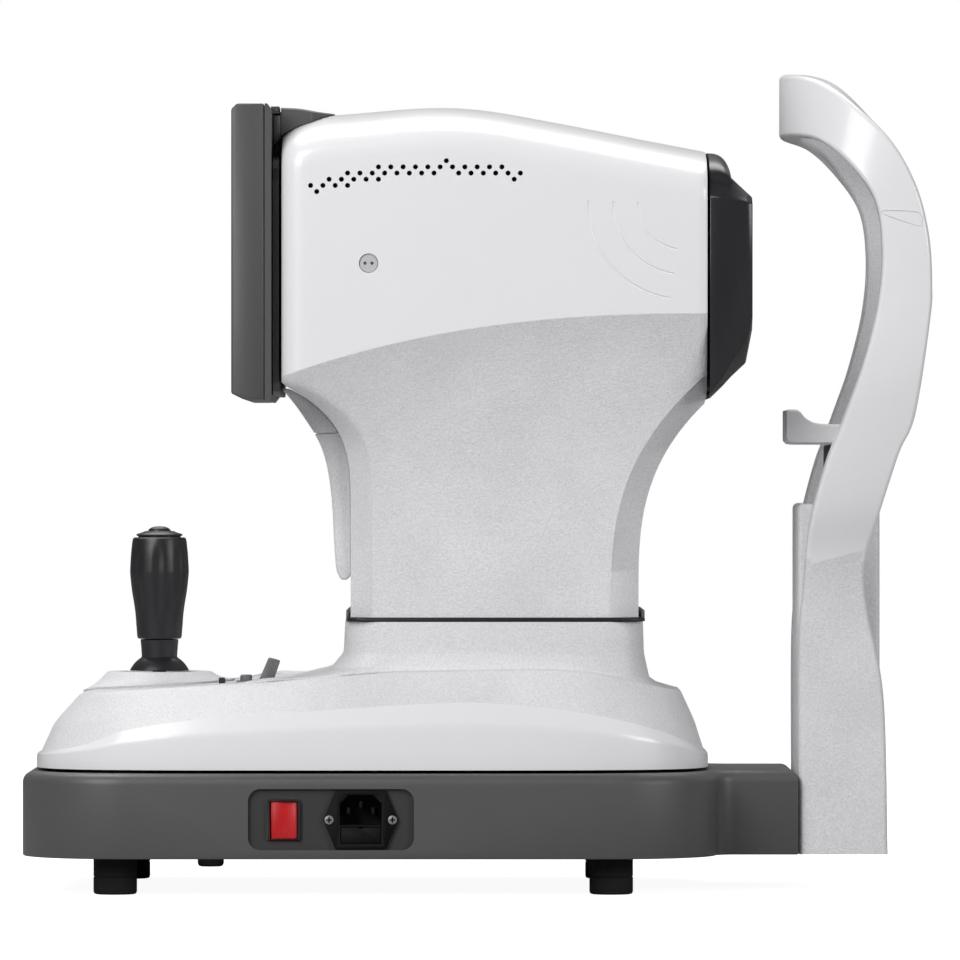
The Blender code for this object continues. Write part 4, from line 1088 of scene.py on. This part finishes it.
def heights_between(low, high, steps):
    return [low + (high - low) * i / steps for i in range(steps + 1)]


def make_printer_cover():
    """The printer's door is a curved cover with side cheeks, and a fixed panel is above it."""
    heights = heights_between(DOOR_LOW, DOOR_TOP, 40)
    outer = [(bulge(z), z) for z in heights]
    against_column = [(rear_edge(z) - 0.5, z) for z in reversed(heights[2:])]
    outline = outer + against_column + [(-72.2, 180.2), (-74.5, DOOR_LOW)]
    door = new_object("printer_flap", prism(outline, -DOOR_HALF, DOOR_HALF, "Y"))
    soften(door, 1.2, 3, 50)
    heights = heights_between(DOOR_LOW + 2.5, DOOR_TOP - 2.5, 20)
    hollow = [(bulge(z) + 2.5, z) for z in heights] + [(-60, heights[-1]), (-60, heights[0])]
    cut(door, prism(hollow, 2.5 - DOOR_HALF, DOOR_HALF - 2.5, "Y"))
    finish_piece(door, "grained white", "printer_flap", ["printer_door"])
    heights = heights_between(DOOR_TOP + 0.5, BULGE_TOP, 20)
    panel = [(bulge(z), z) for z in heights] + [(rear_edge(z) - 0.8, z) for z in reversed(heights)]
    panel = prism(panel, -DOOR_HALF, DOOR_HALF, "Y")
    piece("rear_bridge", panel, "grained white", "head", ["rear_panel"], edges=0.9)


def make_display():
    """The display's frame and its screen."""
    half = DISPLAY_HALF
    outline = [(-139, 284.6), (-131.6, 281), (-120.3, 281)]
    outline += [(-120.3, 449.4), (-135.8, 449.4), (-139, 446.2)]
    bezel = new_object("screen_surround", prism(outline, -half, half, "Y"))
    cut(bezel, box((-136.5, -115), (-half + 3, half - 3), (284, 446.5)))
    cut(bezel, prism(rounded((-half + 9, half - 9), (299, 440), 2, 4), -145, -130, "X"))
    soften(bezel, 1.1, 4, 25)
    finish_piece(bezel, "dark grey", "display", ["display_bezel"])
    glass = box((-136.2, -134.2), (-half + 3.5, half - 3.5), (285, 446))
    piece("screen_pane", glass, "screen", "display", ["display_glass"], edges=0.4)


# ---------------------------------------------------------------- headrest

LEG_WIDTH = [(21, 66), (140, 68), (190, 77), (220, 90), (256, 100), (300, 110), (345, ARCH_HALF)]
OUTER_EDGE = [(236, 21), (233.7, 109.5), (225.3, 155), (222.7, 173), (223, 190), (229, 211)]
OUTER_EDGE += [(241, 250), (250, 272), (258.3, 328), (259.2, 345), (257.6, 373.5), (250.4, 402.3)]
OUTER_EDGE += [(236.2, 428.4), (214.6, 450), (194.5, 464.4), (BAND_X, 470)]
INNER_EDGE = [(185, 21), (185, 138), (187.5, 171), (190.6, 208), (199, 242), (208.4, 267)]
INNER_EDGE += [(221, 304), (229, 339), (230.6, 370), (226, 396), (210.4, 417), (193.5, 430)]
INNER_EDGE += [(BAND_X, 433)]


def arch_edge(side_view, turn_x, stations):
    """A smooth edge of the arch in space, from the near foot to the middle of the forehead
    band. It is drawn in side view, and past turn_x it wraps round to the middle line."""
    path = curve_through(side_view, 40)
    highest = max(x for x, z in path)
    wrapped = False
    points = []
    for x, z in path:
        wrapped = wrapped or x >= highest
        y = smooth(LEG_WIDTH, z)
        if wrapped:
            y = ARCH_HALF * math.sqrt(max(0.0, 1 - ((turn_x - x) / (turn_x - BAND_X)) ** 2))
        points.append(Vector((x, -y, z)))
    return evenly(points, stations)


def evenly(points, count):
    """Points at equal distances along a polyline."""
    lengths = [0.0]
    for a, b in zip(points, points[1:]):
        lengths.append(lengths[-1] + (b - a).length)
    found, at = [], 0
    for i in range(count + 1):
        wanted = lengths[-1] * i / count
        while at < len(points) - 2 and lengths[at + 1] < wanted:
            at += 1
        share = (wanted - lengths[at]) / (lengths[at + 1] - lengths[at])
        found.append(points[at].lerp(points[at + 1], share))
    return found


def make_arch(stations=150):
    """Two legs and a forehead band, moulded as one strip with rounded edges."""
    outer = arch_edge(OUTER_EDGE, 259.2, stations)
    inner = arch_edge(INNER_EDGE, 230.6, stations)
    outer += [Vector((p.x, -p.y, p.z)) for p in reversed(outer[:-1])]
    inner += [Vector((p.x, -p.y, p.z)) for p in reversed(inner[:-1])]
    rings = []
    for k in range(len(outer)):
        last = len(outer) - 1
        middle_after = (outer[min(k + 1, last)] + inner[min(k + 1, last)]) / 2
        middle_before = (outer[max(k - 1, 0)] + inner[max(k - 1, 0)]) / 2
        ahead = (middle_after - middle_before).normalized()
        across = inner[k] - outer[k]
        width = across.length
        across.normalize()
        outward = ahead.cross(across).normalized()
        ring = []
        for u, v in rounded((0, width), (-ARCH_THICK, 0), 3, 6):
            ring.append(tuple(outer[k] + across * u + outward * v))
        rings.append(ring)
    arch = new_object("headrest_frame", loft(rings))
    finish_piece(arch, "smooth white", "base", ["headrest_arch"], sharp=50)
    second_look(arch, "grained white", faces_inward)
    # Painted shade: the eye mark is given the chinrest's darker white, standing in for the shade in an
    # engraved line.
    piece("eye_level_mark", eye_mark(), "chin white", "base")


def eye_mark():
    """A thin raised line round a wedge, on the near side of the arch at the eyes' height. Its white is a
    little darker than the arch's: painted shade, so that the line reads as engraved.
    """
    corners = [(229.8, 387), (233, 388.6), (251.2, 387.4), (253.2, 381.4), (250.4, 380)]
    line = curve_through([*corners, corners[0]], 8)[:-1]
    return tube_along([(x, 0.1 - ARCH_HALF, z) for x, z in line], 0.35)


def faces_inward(centre, normal):
    """The arch's inside, its patient's side on the band, and its lower legs are grained."""
    towards_middle = normal.y * centre.y < -0.25 * abs(centre.y)
    on_band = normal.x > 0.5 and abs(centre.y) < 80 and centre.z > 400
    return towards_middle or on_band or centre.z < 190


def make_stand():
    """The box between the arch's legs, with a slot for the chinrest's post."""
    tower = new_object("stand_cover", box(TOWER_X, (-TOWER_HALF, TOWER_HALF), (21.3, TOWER_TOP)))
    soften(tower, 3, 5)
    inside = (TOWER_X[0] + 3, TOWER_X[1] - 3)
    cut(tower, box(inside, (-TOWER_HALF + 3, TOWER_HALF - 3), (24, TOWER_TOP - 3)))
    slot = rounded((POST_X[0] - 0.8, POST_X[1] + 0.8), (-POST_HALF - 0.8, POST_HALF + 0.8), 1.2)
    cut(tower, prism(slot, TOWER_TOP - 10, TOWER_TOP + 5))
    cut(tower, box((180, TOWER_X[0] + 5), (-41, 41), (24, 29)))
    finish_piece(tower, "grained white", "base", ["chinrest_tower"], sharp=30)


def chin_top(x, y):
    """The chinrest's upper surface: a low wall in front, and a shallow dish behind it."""
    wall = smooth([(179.2, 275.6), (180.4, 276), (186, 275.4), (190, 271.2), (197, 268.4), (223, 268)], x)
    dish = 4.5 * (1 - (y / 38) ** 2) * min(1.0, max(0.0, (x - 186) / 10))
    return wall - dish


def make_chinrest():
    """The cup for the chin and the post that carries it."""
    rows = [-38 + 76 * i / 40 for i in range(41)]
    places = [179.2, 180.2] + [182 + 41 * i / 34 for i in range(35)]
    rings = []
    for y in rows:
        tuck = 1.2 * max(0.0, (abs(y) - 36.4) / 1.6) ** 2
        over = [(x, y, chin_top(x, y) - tuck) for x in places]
        under = [(223, y, 259 + tuck), (220.5, y, 256.4 + tuck), (218, y, 256 + tuck)]
        under += [(184, y, 256 + tuck), (181, y, 256.4 + tuck), (179.2, y, 258.2 + tuck)]
        rings.append(over + under)
    cup = new_object("chin_cup", loft(rings))
    finish_piece(cup, "chin white", "chinrest", ["chinrest_cup"], sharp=50)
    post = box(POST_X, (-POST_HALF, POST_HALF), (150, 255.7))
    column = new_object("chin_post", post)
    cut(column, rod(3.6, (sum(POST_X) / 2, 0), 140, 240))
    soften(column, 1.2)
    finish_piece(column, "dark grey", "chinrest", ["chinrest_post"])


def make_forehead_pad():
    """A soft strip on the patient's side of the forehead band, fuller in its middle."""
    rings = []
    for i in range(41):
        y = PAD_HALF * (i / 20 - 1)
        bend = 69 * (1 - math.sqrt(1 - (y / ARCH_HALF) ** 2))
        face = BAND_X + bend + ARCH_THICK + 2
        full = PAD_DEPTH * min(1.0, (PAD_HALF - abs(y)) / 4 + 0.35) ** 0.5
        shares = [step / 12 for step in range(1, 12)]
        crowned = [(full * math.sin(math.pi * share) ** 0.5, 438 + 26 * share) for share in shares]
        section = [(0, 438.5), *crowned, (0, 463.5)]
        rings.append([(face + out, y, z) for out, z in section])
    piece("forehead_cushion", loft(rings), "silicone", "base", ["forehead_pad"], sharp=60)


# ---------------------------------------------------------------- carried-over CAD nodes

NODE_LOOKS = {
    "steel": "friction_plate rack_near rack_far headrest_bracket cross_axle guide_rod_near guide_rod_far",
    "aluminium": "power_supply axle_bridge bearing_block carriage_plate lift_frame optics_barrel",
    "dark steel": "base_bottom_plate lift_motor chinrest_motor lift_screw chinrest_screw gimbal_ring",
    "black": "gimbal_mount column_sleeve",
    "grey": "printer_mechanism",
    "dark grey": "display_back display_mount",
    "paper": "paper_roll",
}


def dress_nodes():
    """Gives the CAD's own inner parts their materials."""
    for look, nodes in NODE_LOOKS.items():
        for node in nodes.split():
            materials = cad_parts[node].data.materials
            materials.clear()
            materials.append(LOOKS[look][0])


# ---------------------------------------------------------------- studio


def make_camera():
    data = bpy.data.cameras.new("camera")
    data.lens = CAMERA_LENS
    data.sensor_width = CAMERA_SENSOR
    data.clip_end = 100
    camera = bpy.data.objects.new("camera", data)
    camera.location = Vector(CAMERA_PLACE) * MM
    camera.rotation_euler = (math.radians(90), 0, 0)
    bpy.context.scene.collection.objects.link(camera)
    bpy.context.scene.camera = camera


def make_floor():
    """A pale floor; it glows for the camera only, which leaves no horizon."""
    reach = 12000
    corners = [(-reach, -reach, 0), (reach, -reach, 0), (reach, reach, 0), (-reach, reach, 0)]
    floor = new_object("floor", (corners, [(0, 1, 2, 3)]), closed=False)
    paper = moulded("floor_paper", (0.34, 0.34, 0.34), 0.8, speckle=0.004)
    tree = paper.node_tree
    path = tree.nodes.new("ShaderNodeLightPath")
    shader = tree.nodes["Principled BSDF"]
    shader.inputs["Emission Color"].default_value = (1, 1, 1, 1)
    glow = spread(tree, path.outputs["Is Camera Ray"], 0.0, 0.94, 0, 1)
    link(tree, glow, shader.inputs["Emission Strength"])
    floor.data.materials.append(paper)
    floor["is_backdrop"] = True


def softbox(name, place, size, energy, target=(0, 0, 250)):
    data = bpy.data.lights.new(name, "AREA")
    data.shape = "RECTANGLE"
    data.size, data.size_y = size
    data.energy = energy
    lamp = bpy.data.objects.new(name, data)
    lamp.location = Vector(place) * MM
    aim = (Vector(target) - Vector(place)).normalized()
    lamp.rotation_euler = aim.to_track_quat("-Z", "Y").to_euler()
    bpy.context.scene.collection.objects.link(lamp)


def make_lights():
    world = bpy.data.worlds.new("studio")
    world.use_nodes = True
    tree = world.node_tree
    background = tree.nodes["Background"]
    background.inputs["Color"].default_value = (1, 1, 1, 1)
    path = tree.nodes.new("ShaderNodeLightPath")
    strength = spread(tree, path.outputs["Is Camera Ray"], 0.15, 1.0, 0, 1)
    link(tree, strength, background.inputs["Strength"])
    bpy.context.scene.world = world
    softbox("key_light", (-1200, -1500, 1600), (1.4, 1.4), 31)
    softbox("top_light", (-100, 1300, 2600), (2.4, 1.8), 60)
    softbox("front_light", (-2200, -3600, 1600), (2.0, 1.2), 42)
    softbox("right_light", (3000, -2400, 1200), (1.6, 1.2), 48)
    bpy.context.scene.view_settings.view_transform = "Standard"


LOOKS = make_materials()
make_camera()
make_floor()
make_lights()
make_base()
make_power_panel()
make_skirt()
make_joystick()
make_deck_controls()
make_waist_collar()
make_head_covers()
make_hood()
make_nose()
make_printer_cover()
make_display()
make_arch()
make_stand()
make_chinrest()
make_forehead_pad()
dress_nodes()

plain = {"cad": CAD_BOUNDS, "visual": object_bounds()}
for name, corners in plain.items():
    plain[name] = [[float(value) for value in corner] for corner in corners]
